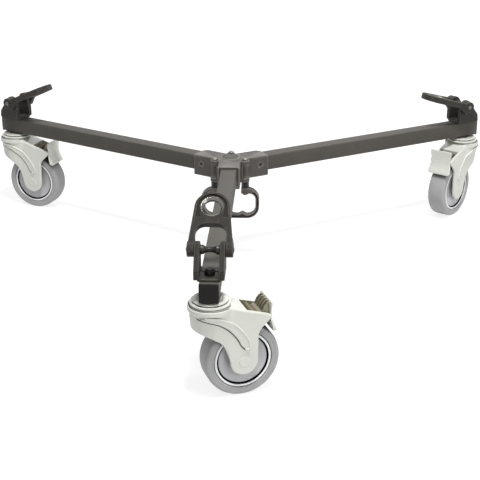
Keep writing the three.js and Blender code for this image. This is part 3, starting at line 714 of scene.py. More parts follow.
def screw_mesh(name, r, depth, head_r, head_h, socket_r, step):
    def field(x, y, z):
        ring = np.hypot(x, y)
        head = slab(ring - head_r, between(z, 0, head_h), min(head_h, head_r) * HEAD_EDGE_SHARE)
        shank = slab(ring - r, between(z, -depth, SHANK_OVERLAP))
        socket = slab(across_flats(x, y) - socket_r, head_h * SOCKET_DEPTH_SHARE - z)
        return less(union(head, shank), socket, HAIR)
    return skin(name, field, ((-head_r, -head_r, -depth), (head_r, head_r, head_h)), step, 1)


def nut_mesh(name, r, bore, low, high):
    def field(x, y, z):
        ring = np.hypot(x, y)
        flats = across_flats(x, y, math.pi / 6) - r * math.cos(math.pi / 6)
        body = slab(flats, between(z, low, high))
        body = common(body, ring + np.maximum(between(z, low, high) + NUT_BEVEL, 0) - r, CRISP)
        return less(body, ring - bore, CRISP)
    return skin(name, field, ((-r, -r, low), (r, r, high)), NUT_STEP, 1)


# Carry handle, with finger bumps inside and a channel in each face
GRIP_TOP = -47.6
GRIP_H = 51.5
GRIP_LOW = GRIP_TOP - GRIP_H
GRIP_HALF = 47.4
GRIP_R = 20
GRIP_BAR = 6.2
GRIP_HALF_T = 6
GRIP_EDGE = 1.1
GRIP_BOX = ((-GRIP_HALF, -20, GRIP_LOW), (GRIP_HALF, -8, GRIP_TOP))
MOUTH_HALF = 18
MOUTH_OVERRUN = 5
END_H = 9
SHOULDER_X = 31
SHOULDER_R = 10.2
BUMP_STEPS = 73
BUMP_PITCH = 20
BUMP_H = 3.4
CHANNEL_RIM = 1.7
CHANNEL_FLOOR = 3.6
CHANNEL_END = 7


def handle_inner():
    x = GRIP_HALF - GRIP_R
    r = GRIP_R - GRIP_BAR
    bottom = GRIP_LOW + GRIP_BAR
    end = GRIP_TOP - END_H
    bumps = []
    for along in np.linspace(x, -x, BUMP_STEPS):
        wave = (1 + math.cos(2 * math.pi * along / BUMP_PITCH)) / 2
        bumps.append((along, bottom + BUMP_H * wave ** 2))
    return [(-MOUTH_HALF, GRIP_TOP + MOUTH_OVERRUN), (MOUTH_HALF, GRIP_TOP + MOUTH_OVERRUN),
            (MOUTH_HALF, end), *arc(SHOULDER_X, end - SHOULDER_R, SHOULDER_R, 90, 0),
            *arc(x, bottom + r, r, 0, -90)[:-1], *bumps, *arc(-x, bottom + r, r, -90, -180)[1:],
            *arc(-SHOULDER_X, end - SHOULDER_R, SHOULDER_R, 180, 90), (-MOUTH_HALF, end)]


def handle_field(x, y, z):
    off = np.abs(y - HINGE_Y)
    outer = round_box(GRIP_HALF, GRIP_LOW, GRIP_TOP, GRIP_R)
    flat = less(to_outline(outer, x, z), to_outline(handle_inner(), x, z), ROUND)
    channel = np.maximum(flat + CHANNEL_RIM, CHANNEL_FLOOR - off)
    body = slab(flat, off - GRIP_HALF_T, GRIP_EDGE)
    return less(body, np.maximum(channel, z - GRIP_TOP + CHANNEL_END), MILD)


# Folding arms' blocks, drawn for the right arm
BLOCK_SIDE = 15
BLOCK_OUTLINE = [(18, -BLOCK_SIDE), (62, -BLOCK_SIDE), (62, 11), (55, 18), (18, 18)]
BLOCK_SPAN = (-36.7, -2.5)
BLOCK_BOX = ((8, -31, -37), (62, 18, -2))
BLOCK_PIN = (14.218, -24.374)
BLOCK_WEB = [(18.3, -24.374), (20.2, -24.374), (27.3, -15.4), (27.3, -13), (18.3, -13)]
KNUCKLE_R = 6
FLANGE_R = 6.6
FLANGE_H = 3.4
BLOCK_SOCKET = (25.7, 70)
BLOCK_BOLT_X = 47.5
BLOCK_BOLT_SEAT = 1
SINK_R = 3.9
SINK_DEPTH = 1.4


def arm_block_field(x, y, z):
    low, high = KNUCKLE
    ring = np.hypot(x - BLOCK_PIN[0], y - BLOCK_PIN[1])
    body = slab(to_outline(rounded(BLOCK_OUTLINE, BOLD), x, y), between(z, *BLOCK_SPAN), BOLD)
    knuckle = slab(ring - KNUCKLE_R, between(z, low, high), MILD)
    flange = slab(ring - FLANGE_R, between(z, high - FLANGE_H, high), SOFT)
    foot = slab(ring - FLANGE_R, between(z, low, low + FLANGE_H), SOFT)
    web = slab(to_outline(BLOCK_WEB, x, y), between(z, low, high), CRISP)
    body = union(body, union(union(knuckle, web, WIDE), union(flange, foot)), BOLD)
    body = less(body, ring - (PIN_R + FIT), CRISP)
    body = less(body, tube_socket(x, y, z, *BLOCK_SOCKET), SOFT)
    sink = np.hypot(x - BLOCK_BOLT_X, z - TUBE_MID) - SINK_R
    return less(body, slab(sink, y - (-BLOCK_SIDE + SINK_DEPTH)), SOFT)


# Foot catch: floor plate, the land that a foot seats on, and two ears
BRACKET_IN = 446
BRACKET_OUT = 485.5
EAR_R = 10.5
EAR_OUTLINE = [(BRACKET_IN, -1.5), (487, -1.5), (BRACKET_OUT, 11), *arc(PIVOT_X, PIVOT_Z, EAR_R, 20, 180),
               (BRACKET_IN, 18)]
EAR_FILLET = 1.6
PLATE_HALF = 14.3
PLATE_LOW = -3.7
PLATE_TOP = -0.7
LAND_OUT = 459.6
LAND_TOP = 0.1
CATCH_HOLE_R = 2.3
BRACKET_BOX = ((BRACKET_IN, -EAR_OUT, PLATE_LOW), (487, EAR_OUT, 39))


def bracket_field(x, y, z):
    corner = (BRACKET_IN, -PLATE_HALF, PLATE_LOW)
    ear = slab(to_outline(rounded(EAR_OUTLINE, WIDE), x, z), between(np.abs(y), EAR_IN, EAR_OUT), FULL)
    plate = block(x, y, z, corner, (BRACKET_OUT, PLATE_HALF, PLATE_TOP), NEAT)
    land = block(x, y, z, corner, (LAND_OUT, PLATE_HALF, LAND_TOP), NEAT)
    body = union(union(plate, land, NEAT), ear, EAR_FILLET)
    body = less(body, np.hypot(x - PIVOT_X, z - PIVOT_Z) - CATCH_HOLE_R, CRISP)
    return less(body, np.hypot(x - SWIVEL_X, y) - STEM_HOLE_R, CRISP)


# Lever: two legs with an arch between them, a pad under it and a ring at the tip
LEVER_REACH = 82.6
LEVER_TIP = 22.6
LEVER_HALF = 5
LEVER_EDGE = 1.3
RING_X = LEVER_REACH - LEVER_TIP
ARCH_TOP = 34.8
ARCH_R = 12.5
LEVER_PLAN = [(0, LEG_OUT), *arc(RING_X, 0, LEVER_TIP, 86, -86, 28), (0, -LEG_OUT), (0, -LEG_IN),
              *arc(ARCH_TOP - ARCH_R, ARCH_R - LEG_IN, ARCH_R, -90, 0),
              *arc(ARCH_TOP - ARCH_R, LEG_IN - ARCH_R, ARCH_R, 0, 90), (0, LEG_IN)]
LEG_BOSS_R = 9.5
HEEL_DROP = 14.5
HEEL = [(0, 0), (0, -LEG_BOSS_R), (2.2, -HEEL_DROP), (16.2, -LEVER_HALF), (16.2, 0)]
LEG_FILLET = 2.0
LEVER_BOX = ((-LEG_BOSS_R, -LEG_OUT, -HEEL_DROP), (LEVER_REACH, LEG_OUT, LEG_BOSS_R))
UNDER_RIM = 3.5
UNDER_RING_R = 16.6
UNDER_SPAN = (-9, 1.8)
UNDER_START = 11
PAD_LOW = (ARCH_TOP, -7.8, -9)
PAD_HIGH = (ARCH_TOP + 6, 7.8, 5)
PANEL_RIM = 3.4
PANEL_START = 44.8
PANEL_DEPTH = 2.2
PANEL_PAST = 12
TONGUE_R = 15.6
TONGUE_HALF = 15
RING_BORE = 11
CONE_W = 2.9
CONE_DEPTH = 2.6
UNDER_CONE_Z = 1
UNDER_CONE_SLOPE = 0.7
SHINE_IN = 10.6
SHINE_OUT = 14.2
SHINE_DEPTH = 2.7


def lever_legs(x, y, z, plan):
    """Round boss of each leg, with the heel below it."""
    legs = between(np.abs(y), LEG_IN, LEG_OUT)
    boss = slab(np.hypot(x, z) - LEG_BOSS_R, legs, FULL)
    heel = slab(to_outline(rounded(HEEL, FULL), x, z), np.maximum(legs, plan), ROUND)
    return union(boss, heel, BOLD)


def lever_hollow(x, y, z, plan, hole):
    """Hollow underside with its rim, ring boss and pad."""
    pad = block(x, y, z, PAD_LOW, PAD_HIGH, SOFT)
    hollow = slab(np.maximum(plan + UNDER_RIM, UNDER_RING_R - hole), between(z, *UNDER_SPAN), NEAT)
    return np.maximum(np.maximum(hollow, UNDER_START - x), -pad)


def lever_panel(x, y, z, plan, hole):
    """Recess on the upper side, between the rim and the ring's tongue."""
    tongue = union(hole - TONGUE_R, np.maximum(np.abs(y) - TONGUE_HALF, x - RING_X))
    panel = np.maximum(common(plan + PANEL_RIM, -tongue, CRISP), PANEL_START - x)
    return slab(panel, between(z, LEVER_HALF - PANEL_DEPTH, PANEL_PAST), CRISP)


def lever_field(x, y, z):
    plan = to_outline(LEVER_PLAN, x, y)
    hole = np.hypot(x - RING_X, y)
    body = slab(plan, np.abs(z) - LEVER_HALF, LEVER_EDGE)
    body = less(body, lever_hollow(x, y, z, plan, hole), ROUND)
    body = union(body, lever_legs(x, y, z, plan), LEG_FILLET)
    body = less(body, lever_panel(x, y, z, plan, hole), CRISP)
    body = less(body, hole - RING_BORE, NEAT)
    cone = hole - (RING_BORE + CONE_W) - (z - LEVER_HALF) * (CONE_W / CONE_DEPTH)
    body = less(body, np.maximum(cone, LEVER_HALF - CONE_DEPTH - z), CRISP)
    under = hole - RING_BORE + (z + UNDER_CONE_Z) * UNDER_CONE_SLOPE
    body = less(body, np.maximum(under, z + UNDER_CONE_Z), SOFT)
    return less(body, np.hypot(x, z) - CATCH_HOLE_R, CRISP)


def lever_part(x, y, z):
    """1 for the bright bevel round the ring's hole."""
    return int(SHINE_IN < math.hypot(x - RING_X, y) < SHINE_OUT and z > LEVER_HALF - SHINE_DEPTH)


# Roller and cross pin of the catch
ROLLER_NECK = 7.5
ROLLER_WAIST_R = 3.1
ROLLER_FLARE = 1.9
ROLLER_STEPS = 17
ROLLER_END = [(CATCH_HOLE_R, -12), (5.5, -12), (6, -11.5), (6, -8), (5.6, -7.6)]
CATCH_PIN_END = [(0, -30.1), (1.6, -30.05), (2.8, -29.8), (3.4, -29.3), (3.3, -29), (2, -29)]


def roller_profile():
    waist = []
    for y in np.linspace(-ROLLER_NECK, ROLLER_NECK, ROLLER_STEPS):
        waist.append((ROLLER_WAIST_R + ROLLER_FLARE * (y / ROLLER_NECK) ** 2, y))
    return ROLLER_END + waist + both_sides(ROLLER_END)[len(ROLLER_END):]


# Caster housing: its outline from the side, and the ridge and the crease on each cheek
HOUSING_OUTLINE = [*arc(TRAIL, WHEEL_R, 18.5, -180, 0, 24),
                   *smooth([(56.5, 50), (57.2, 70), (57.5, 84), (60, 91), (64.5, 96.5), (69.5, 101),
                            (74, 106), (74.2, 109.5), (70, 112.3)], 4)[1:],
                   (48, 119), (33, 123.5), (18, 128), (10, CROWN_TOP), (-33, CROWN_TOP), (-33, 98),
                   *smooth([(-30, 98.5), (-19.5, 96), (-7.7, 91), (5.3, 82.5), (11.8, 73.5), (17, 60.5),
                            (19.5, 50)], 4)[:-1]]
RIDGE = smooth([(-14, 120.8), (-3, 119.9), (6.3, 117), (13.7, 112.5), (21.1, 107.5), (28.1, 101.6),
                (34.2, 94.4), (39.6, 86.7), (43.8, 78.7), (45.1, 71.4), (42.7, 67.8), (38, 68.8)], 5)
CREASE = smooth([(-22, 117.6), (-11.6, 114.7), (-5.6, 113.1), (0.6, 110.7), (5.7, 107.6), (10.8, 103.6),
                 (16.6, 98.3), (21, 93.6), (25, 88.6), (28.6, 83.4), (31.1, 78.6), (33.4, 73.6),
                 (38, 68.8)], 5)
HOUSING_EDGE = 2.2
HOUSING_BOX = ((-30, -30, 31), (74, 30, 130))
HEAD_R = 27
HEAD_TAPER = 8
HEAD_FADE = 60
HEAD_POWER = 1.6
CHEEK_FILLET = 7
BEAD_R = 29.6
BEAD_LOW = 121.7
BEAD_EDGE = 2.4
RELIEF_FROM = 8
RELIEF_H = 1.2
RIDGE_HALF = 0.9
RIDGE_H = 2.0
RIDGE_EDGE = 0.7
CREASE_HALF = 0.7
CREASE_DEPTH = 1.6
AXLE_BOSS_R = 7.0
AXLE_BOSS_H = 0.5
CROWN_GROOVE_HALF = 0.8
CROWN_GROOVE_DEPTH = 3
WHEEL_ROOM = 3
POCKET_R = 19
POCKET_SPAN = (30, 109.7)
SLOT_FROM = 43
INNER_EDGE = 0.9
STEM_BORE_R = 8.3
STEM_BORE_LOW = 100


def head_radius(z):
    """The head narrows downwards."""
    return HEAD_R - HEAD_TAPER * np.clip((BEAD_LOW - z) / HEAD_FADE, 0, 1) ** HEAD_POWER


def moulded(plain, x, z, side):
    """The housing with its cheeks' relief."""
    inward = RELIEF_FROM - side
    band = to_outline(RIDGE + CREASE[::-1], x, z)
    raised = np.maximum(np.maximum(band, plain - RELIEF_H), inward)
    body = union(plain, raised, MILD)
    ridge = slab(to_line(RIDGE, x, z) - RIDGE_HALF, plain - RIDGE_H, RIDGE_EDGE)
    body = union(body, np.maximum(ridge, inward), BOLD)
    crease = np.maximum(to_line(CREASE, x, z) - CREASE_HALF, -(plain + CREASE_DEPTH))
    return less(body, np.maximum(crease, inward), NEAT)


def housing_field(x, y, z):
    side = np.abs(y)
    ring = np.hypot(x, y)
    axle = np.hypot(x - TRAIL, z - WHEEL_R)
    outline = to_outline(HOUSING_OUTLINE, x, z)
    cheeks = np.maximum(side - FORK_HALF, -x)
    body = common(outline, union(ring - head_radius(z), cheeks, CHEEK_FILLET), HOUSING_EDGE)
    bead = slab(ring - BEAD_R, between(z, BEAD_LOW, CROWN_TOP), BEAD_EDGE)
    body = moulded(union(body, np.maximum(bead, outline), FULL), x, z, side)
    boss = slab(axle - AXLE_BOSS_R, side - FORK_HALF - AXLE_BOSS_H, NEAT)
    body = union(body, boss, HAIR)
    groove = slab(np.abs(ring - HEAD_R) - CROWN_GROOVE_HALF, CROWN_TOP - CROWN_GROOVE_DEPTH - z, NEAT)
    body = less(body, groove, FULL)
    wheel = slab(axle - (WHEEL_R + WHEEL_ROOM), side - FORK_IN)
    pocket = slab(ring - POCKET_R, between(z, *POCKET_SPAN))
    slot = np.maximum(np.maximum(side - FORK_IN, SLOT_FROM - x), WHEEL_R - z)
    body = less(body, union(union(wheel, pocket), slot), INNER_EDGE)
    return less(body, slab(ring - STEM_BORE_R, STEM_BORE_LOW - z), CRISP)


# Limits of the housing's shaded inside
SHADE_POCKET_R = 20
SHADE_TOP = 121
SHADE_MOUTH_X = 44.2
SHADE_ROOF_Z = 108


def housing_part(x, y, z):
    """1 for the inside of the housing, which is in shade."""
    inner = abs(y) < FORK_IN + FIT and (x > 0 or math.hypot(x, y) < SHADE_POCKET_R)
    return int(inner and z < SHADE_TOP and (x > SHADE_MOUTH_X or z < SHADE_ROOF_Z))


# Wheel, in half profiles: its tyre, and its core with a ring groove inside the rim
TYRE_HALF = 15.6
TYRE_CORNER = 4
TYRE_SHOULDER = 4.4
TYRE_LIP = [(38.6, 13.6), (38.9, 14.8), (39.6, 15.5), (40.6, TYRE_HALF), (42.0, 15.3), (44.0, 15.3),
            (45.0, TYRE_HALF)]
TYRE_TREAD = [(49.6, 11.2), (49.9, 10.8), (WHEEL_R, 10.2)]
RING_IN = 32.8
RING_OUT = 35.0
RING_FLOOR = 5
RIM_OUT = 38
PART_PLAY = 0.05
CORE_HALF = [(4.3, 11.8), (9, 11.8), (10.4, 10.6), (28, 11.4), (31.2, 12.4), (32, 12.7), (32.5, 12.5),
             (RING_IN, 11.8), (RING_IN, RING_FLOOR), (RING_OUT, RING_FLOOR), (RING_OUT, 13.9), (35.3, 14.6),
             (36.0, 14.9), (36.9, 14.9), (37.6, 14.5), (RIM_OUT, 13.8), (38.5, 13.8)]


def tyre_profile():
    corner = arc(TYRE_HALF - TYRE_CORNER, WHEEL_R - TYRE_SHOULDER, TYRE_CORNER, 0, 90, 10)
    return both_sides(TYRE_LIP + [(r, y) for y, r in corner] + TYRE_TREAD)


def core_part(x, y, z):
    """0 for the disc; 1 for the ring groove and beyond the rim, black as painted shade; 2 for the rim, near
    white, partly its own colour and partly a painted highlight.
    """
    r = math.hypot(x, z)
    if r < RING_IN - PART_PLAY:
        return 0
    return 1 if r < RING_OUT + PART_PLAY or r > RIM_OUT else 2


# Collar and stem of the caster, as (radius, height above the floor)
COLLAR_PROFILE = [(STEM_BORE_R, 136.7), (14.6, 136.7), (15.2, 136.2), (15.8, 136.7), (21.6, 136.7),
                  (22.6, 136.4), (23, 135.7), (22.9, 134.9), (22.4, 134.6), (20.8, 134.4), (20.8, 133.4),
                  (24.9, 133.6), (26.1, 133.2), (26.5, 132.3), (26.3, 131.2), (25.4, 130.9),
                  (24.4, 130.6), (24.4, 130), (STEM_BORE_R, 130)]
STEM_PROFILE = [(0, 176.6), (4.2, 176.6), (4.9, 175.9), (4.9, 139.7), (12.4, 139.7), (13, 139.1),
                (13, 137), (8, 137), (8, 109.4), (12, 109.4), (12, 105.4), (0, 105.4)]
STEM_END_Z = 170

# Brake pedal: its plate and its ribs from the side, in shares of its height
PLATE_SHARES = [(0.275, 0.24), (0.275, 0), (0.295, -0.2), (0.335, -0.37), (0.36, -0.53), (0.44, -0.56),
                (0.5, -0.53), (0.48, -0.45), (0.40, -0.29), (0.355, -0.12), (0.338, 0.05), (0.338, 0.27),
                (0.345, 0.46), (0.29, 0.48)]
RIB_SHARES = [(0, -0.12), (0.3, -0.16), (0.31, 0.44), (0.2, 0.42), (0.1, 0.3), (0.02, 0.1)]
PEDAL_BOX = ((56, -20.3, 85), (83, 20.3, 128))
PEDAL_LOW = -23
PEDAL_TOP = 19.7
PEDAL_HALF = 20.6
PEDAL_LOW_R = 5
PEDAL_TOP_R = 3
WAIST_DEPTH = 2.4
WAIST_Z = 1
WAIST_H = 10
RIB_PITCH = 6.95
RIB_HALF = 1.1
RIBS_A_SIDE = 2
BARREL_R = 5.2
BARREL_HALF = 16.1
PEDAL_HOLE_R = 2.5
PEDAL_FACE = 11


def pedal_half(w):
    """Half width of the waisted plate at a height."""
    flare = PEDAL_HALF - WAIST_DEPTH * np.exp(-((w - WAIST_Z) / WAIST_H) ** 2)
    low = np.clip(PEDAL_LOW + PEDAL_LOW_R - w, 0, PEDAL_LOW_R)
    top = np.clip(w - PEDAL_TOP + PEDAL_TOP_R, 0, PEDAL_TOP_R)
    return (flare - PEDAL_LOW_R + np.sqrt(PEDAL_LOW_R ** 2 - low ** 2)
            - PEDAL_TOP_R + np.sqrt(PEDAL_TOP_R ** 2 - top ** 2))


def pedal_field(x, y, z):
    u, w = x - PEDAL_X, z - PEDAL_Z
    side = np.abs(y)
    plate_outline, rib_outline = ([(a * PEDAL_H, b * PEDAL_H) for a, b in shares]
                                  for shares in (PLATE_SHARES, RIB_SHARES))
    plate = slab(to_outline(rounded(plate_outline, BOLD), u, w), side - pedal_half(w), BOLD)
    rib_y = np.clip(np.round(y / RIB_PITCH), -RIBS_A_SIDE, RIBS_A_SIDE) * RIB_PITCH
    ribs = slab(to_outline(rib_outline, u, w), np.abs(y - rib_y) - RIB_HALF, NEAT)
    barrel = slab(np.hypot(u, w) - BARREL_R, side - BARREL_HALF, SOFT)
    body = union(union(plate, ribs, FULL), barrel, ROUND)
    return less(body, np.hypot(u, w) - PEDAL_HOLE_R, HAIR)


# Brake spring, which lies across the housing in the cam's place
SPRING_TURNS = 8
SPRING_STEPS = 22
SPRING_R = 4.3
SPRING_HALF = 13.5
SPRING_X = 50.4
SPRING_Z = 112.4
WIRE_R = 1.1
WIRE_SIDES = 8


def spring_loops():
    """Loops of points round the wire of the coil spring."""
    loops = []
    up = np.array([0, 1, 0])
    for s in np.linspace(0, 1, SPRING_TURNS * SPRING_STEPS + 1):
        a = 2 * math.pi * SPRING_TURNS * s
        out = np.array([math.cos(a), 0, math.sin(a)])
        centre = SPRING_R * out + (-SPRING_HALF + 2 * SPRING_HALF * s) * up
        loops.append([tuple(centre + WIRE_R * (math.cos(b) * out + math.sin(b) * up))
                      for b in np.linspace(0, 2 * math.pi, WIRE_SIDES, endpoint=False)])
    return loops


# Square tube and its end cap. A loop of the cap's head: in from the end, in from the side, corner.
FRONT_TUBE_FROM = 14.3
SIDE_TUBE_FROM = 26
TUBE_STEPS = 60
LOOP_STEPS = 5
TUBE_CORNER = 1.8
TUBE_INNER_CORNER = 0.6
TUBE_END_INSET = 0.25
TUBE_END_CORNER = 1.6
PLUG_FROM = 476
PLUG_CORNER = 0.8
CAP_HEAD = [(TUBE_WALL, 0, TUBE_CORNER), (0.7, 0, TUBE_CORNER), (0.15, 0.5, 1.5), (0, 1.1, 1.2)]
CAP_FACE_HALF = 4
CAP_FACE_CORNER = 0.5
LIP_DROP = 2.3
LIP_RISE = 1.5


def square_loop(x, half, r):
    """Square with round corners, across the arm."""
    return [(x, y, TUBE_MID + z) for y, z in round_box(half, -half, half, r, LOOP_STEPS)]


def tube_mesh(name, start):
    end = ARM_REACH - TUBE_WALL
    inner = HALF - TUBE_WALL
    loops = [square_loop(start, HALF - TUBE_END_INSET, TUBE_END_CORNER)]
    loops += [square_loop(x, HALF, TUBE_CORNER) for x in np.linspace(start, end, TUBE_STEPS)[1:]]
    loops += [square_loop(x, inner, TUBE_INNER_CORNER) for x in (end, start)]
    return run_of(name, loops, True)


def lipped(loop):
    """The loop with its lower side bowed down."""
    return [(x, y, z - LIP_DROP * (1 - (y / HALF) ** 2) if z < TUBE_LOW + LIP_RISE else z)
            for x, y, z in loop]


def tube_cap_mesh(name):
    plug = HALF - TUBE_WALL - FIT
    loops = [square_loop(x, plug, PLUG_CORNER) for x in (PLUG_FROM, ARM_REACH - TUBE_WALL)]
    loops += [lipped(square_loop(ARM_REACH - back, HALF - inset, corner)) for back, inset, corner in CAP_HEAD]
    loops.append(square_loop(ARM_REACH, CAP_FACE_HALF, CAP_FACE_CORNER))
    return run_of(name, loops, False)


# Pieces
def build_hub():
    body = skin("hub_casting", hub_field, HUB_BOX, CAST_STEP)
    cap = lathe("hub_disc", CAP_PROFILE, SIDES_LARGE)
    toned(cap, ["casting_paint", "catch_paint"], lambda x, y, z: int(math.hypot(x, y) < CAP_DISC_R))
    screw = screw_mesh("rear_bolt", **REAR_BOLT, step=BOLT_STEP)
    pin = toned(lathe("hinge_rivet", HINGE_PIN_PROFILE, SIDES_MEDIUM), ["dull_steel"])
    nut = nut_mesh("hinge_hex", **HINGE_NUT)
    grip = skin("carry_grip", handle_field, GRIP_BOX, FINE_STEP)
    centre = Matrix.Identity(4)
    stand_in("", [
        ("hub_casting", body, centre, "frame", "casting_paint", "hub_body"),
        ("hub_disc", cap, centre, "frame", "casting_paint", "hub_cap"),
        ("rear_bolt", screw, moved(0, REAR_BOLT_Y, CAST_TOP), "frame", "bright_steel", "hub_rear_screw"),
    ])
    for name, x in (("left_", -HINGE_X), ("right_", HINGE_X)):
        place = moved(x, HINGE_Y, 0)
        stand_in(name, [
            ("hinge_rivet", pin, place, "frame", "bright_steel", "hinge_pin"),
            ("hinge_hex", nut, place, "frame", "dark_steel", "hinge_nut"),
        ])
    stand_in("", [("carry_grip", grip, centre, "frame", "casting_paint", "carry_handle")])


def build_blocks():
    right = skin("block_right", arm_block_field, BLOCK_BOX, CAST_STEP)
    left = mirrored(right, "block_left")
    screw = screw_mesh("block_bolt", **BLOCK_BOLT, step=SMALL_BOLT_STEP)
    # Inside the ring the screw is dark steel: painted shade in its socket.
    toned(screw, ["dark_steel", "dull_steel"],
          lambda x, y, z: int(z > SHANK_OVERLAP and math.hypot(x, y) > BLOCK_BOLT_RING_R))
    for name, block_mesh in (("left", left), ("right", right)):
        arm = ARMS[name]
        body, place, side = arm["body"], arm_place(arm), arm["side"]
        turn = Matrix.Rotation(-side * math.pi / 2, 4, "X")
        screw_place = place @ moved(BLOCK_BOLT_X, side * (BLOCK_SIDE - BLOCK_BOLT_SEAT), TUBE_MID) @ turn
        stand_in(name + "_", [
            ("block", block_mesh, place, body, "casting_paint", "arm_block"),
            ("block_bolt", screw, screw_place, body, "bright_steel", "block_screw"),
        ])


def build_arms():
    long_tube = tube_mesh("front_bar", FRONT_TUBE_FROM)
    short_tube = tube_mesh("side_bar", SIDE_TUBE_FROM)
    cap = tube_cap_mesh("bar_end")
    bracket = skin("foot_cradle", bracket_field, BRACKET_BOX, FINE_STEP)
    pin = toned(lathe("catch_rivet", both_sides(CATCH_PIN_END), SIDES_SMALL, across=True), ["dull_steel"])
    roller = lathe("waisted_roller", roller_profile(), SIDES_MEDIUM, across=True)
    lever = skin("ring_lever", lever_field, LEVER_BOX, FINE_STEP)
    toned(lever, ["catch_paint", "polished"], lever_part)
    for name, arm in ARMS.items():
        body, place, pivot = arm["body"], arm_place(arm), pivot_place(arm)
        bar = long_tube if name == "front" else short_tube
        stand_in(name + "_", [
            ("bar", bar, place, body, "tube_paint", "tube"),
            ("bar_end", cap, place, body, "black_plastic", "tube_cap"),
            ("foot_cradle", bracket, place, body, "catch_paint", "foot_bracket"),
            ("catch_rivet", pin, pivot, body, "bright_steel", "catch_pin"),
            ("waisted_roller", roller, pivot, name + "_roller", "dark_steel", "catch_roller"),
            ("ring_lever", lever, lever_place(arm), name + "_lever", "catch_paint", "lever"),
        ])


def build_casters():
    housing = skin("fork_shell", housing_field, HOUSING_BOX, SHELL_STEP, SHELL_KEEP_SHARE)
    toned(housing, ["pale_plastic", "shaded_plastic"], housing_part)
    stem = lathe("king_stem", STEM_PROFILE, SIDES_MEDIUM)
    toned(stem, ["dark_steel", "black_plastic"], lambda x, y, z: int(z > STEM_END_Z))
    nut = toned(nut_mesh("stem_hex", **STEM_NUT), ["black_plastic"])
    collar = lathe("stepped_ring", COLLAR_PROFILE, SIDES_LARGE)
    core = lathe("wheel_disc", both_sides(CORE_HALF), SIDES_FINE, across=True)
    # The groove is painted black as shade, and the rim near white, partly as a painted highlight.
    toned(core, ["wheel_plastic", "black_plastic", "pale_highlit_rim"], core_part)
    tyre = lathe("wheel_tyre", tyre_profile(), SIDES_FINE, across=True)
    pedal = skin("brake_pedal", pedal_field, PEDAL_BOX, FINE_STEP)
    # The ribs behind the pedal's face get the shaded plastic: painted shade.
    toned(pedal, ["pale_plastic", "shaded_plastic"], lambda x, y, z: int(x < PEDAL_X + PEDAL_FACE))
    spring = toned(run_of("brake_spring", spring_loops(), False), ["spring_steel"])
    for name, arm in ARMS.items():
        body, place = arm["body"], caster_place(arm)
        fork, rolling = name + "_fork", name + "_wheel"
        hub = place @ moved(TRAIL, 0, WHEEL_R)
        cam = place @ moved(SPRING_X, 0, SPRING_Z)
        stand_in(name + "_", [
            ("king_stem", stem, place, body, "dark_steel", "stem"),
            ("stem_hex", nut, place, body, "dark_steel", "stem_nut"),
            ("stepped_ring", collar, place, body, "pale_plastic", "collar"),
            ("fork_shell", housing, place, fork, "pale_plastic", "housing"),
            ("wheel_disc", core, hub, rolling, "wheel_plastic", "wheel_core"),
            ("wheel_tyre", tyre, hub, rolling, "grey_rubber", "tyre"),
            ("brake_pedal", pedal, place, name + "_pedal", "pale_plastic", "pedal"),
            ("brake_spring", spring, cam, fork, "dark_steel", "brake_cam"),
        ])


# CAD nodes that stay, by the end of their names, get their material
KEPT = {"axle": "bright_steel", "pedal_pin": "bright_steel"}


def dress_kept():
    for name, obj in frame["nodes"].items():
        for ending, slot in KEPT.items():
            if name.endswith(ending):
                obj.data.materials.clear()
                obj.data.materials.append(MATERIALS[slot])


# Camera: azimuth, elevation and roll in degrees, place in metres
CAMERA_LENS = 84.28
CAMERA_SENSOR = 36
CAMERA_ANGLES = (2.726, 22.176, -0.239)
CAMERA_PLACE = (0.09757, -1.73258, 0.561416)


def camera():
    data = bpy.data.cameras.new("camera")
    data.lens = CAMERA_LENS
    data.sensor_width = CAMERA_SENSOR
    obj = linked("camera", data)
    azimuth, elevation, roll = (math.radians(a) for a in CAMERA_ANGLES)
    back = Vector((math.sin(azimuth) * math.cos(elevation), -math.cos(azimuth) * math.cos(elevation),
                   math.sin(elevation)))
    right = (-back).cross(Vector((0, 0, 1))).normalized()
    up = right.cross(-back)
    right, up = (right * math.cos(roll) + up * math.sin(roll), up * math.cos(roll) - right * math.sin(roll))
    matrix = Matrix((right, up, back)).transposed().to_4x4()
    matrix.translation = CAMERA_PLACE
    obj.matrix_world = matrix
    bpy.context.scene.camera = obj


# Lamps, in metres and watts
LAMPS = {
    "key": dict(place=(0.3, -0.95, 2.95), target=(0, -0.1, 0), size=0.6, power=92),
    "right": dict(place=(2.2, -2.0, 1.2), target=(0, 0, 0), size=1.2, power=24),
    "back": dict(place=(0.2, 2.2, 1.8), target=(0, 0, 0), size=1.6, power=22),
}
WORLD_LIGHT = 0.27


def lamp(name, place, target, size, power):
    data = bpy.data.lights.new(name, "AREA")
    data.shape = "DISK"
    data.size = size
    data.energy = power
    obj = linked(name, data)
    obj.location = place
    obj.rotation_euler = (Vector(target) - Vector(place)).to_track_quat("-Z", "Y").to_euler()


def shown_to_camera(tree):
    """1 for camera, glossy and transmitted rays."""
    path = node(tree, "ShaderNodeLightPath")
    total = path.outputs["Is Camera Ray"]
    for name in ("Is Glossy Ray", "Is Transmission Ray"):
        total = worked(tree, "MAXIMUM", total, path.outputs[name])
    return total


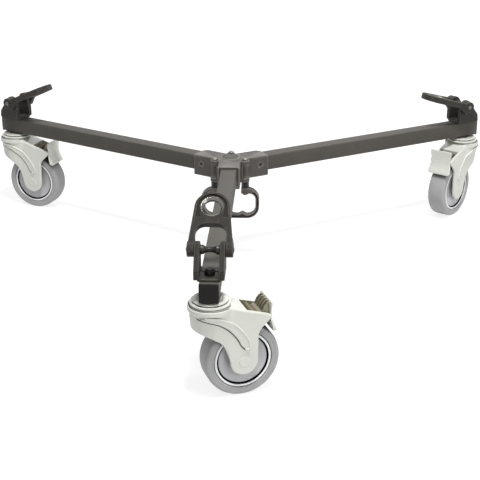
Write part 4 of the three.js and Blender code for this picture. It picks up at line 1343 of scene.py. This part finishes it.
def world():
    made = bpy.data.worlds.new("studio")
    bpy.context.scene.world = made
    made.use_nodes = True
    tree = made.node_tree
    back = tree.nodes["Background"]
    back.inputs["Color"].default_value = (1, 1, 1, 1)
    feed(tree, back.inputs["Strength"], ranged(tree, shown_to_camera(tree), 0.0, 1.0, WORLD_LIGHT, 1.0))


# Floor: matt for the light, and for the eye pale with a glow that grows further away
FLOOR_REACH = 12.0
FLOOR_TONE = (0.8, 0.8, 0.8, 1)
FLOOR_ROUGH = 0.9
FLOOR_SEEN_TONE = (0.3, 0.3, 0.3, 1)
GLOW_DISTANCES = (1.2, 4.0)
GLOW_STRENGTHS = (0.81, 0.92)


def floor_material():
    material, tree, shader = shaded("floor")
    shader.inputs["Base Color"].default_value = FLOOR_TONE
    shader.inputs["Roughness"].default_value = FLOOR_ROUGH
    shader.inputs["Specular IOR Level"].default_value = 0.0
    place = node(tree, "ShaderNodeNewGeometry").outputs["Position"]
    away = node(tree, "ShaderNodeVectorMath", place, operation="LENGTH").outputs["Value"]
    pale = node(tree, "ShaderNodeBsdfDiffuse", Color=FLOOR_SEEN_TONE)
    glow = node(tree, "ShaderNodeEmission", Strength=ranged(tree, away, *GLOW_DISTANCES, *GLOW_STRENGTHS))
    lit = node(tree, "ShaderNodeAddShader", pale.outputs[0], glow.outputs[0])
    seen = node(tree, "ShaderNodeMixShader", shown_to_camera(tree), shader.outputs[0], lit.outputs[0])
    feed(tree, tree.nodes["Material Output"].inputs["Surface"], seen.outputs[0])
    return material


def floor():
    r, z = FLOOR_REACH, FLOOR_Z * MM
    mesh = bpy.data.meshes.new("floor")
    mesh.from_pydata([(-r, -r, z), (r, -r, z), (r, r, z), (-r, r, z)], [], [(0, 1, 2, 3)])
    mesh.materials.append(floor_material())
    linked("floor", mesh)


def studio():
    bpy.context.scene.view_settings.view_transform = "Standard"
    world()
    floor()
    for name, values in LAMPS.items():
        lamp(name, **values)


build_hub()
build_blocks()
build_arms()
build_casters()
dress_kept()
camera()
studio()
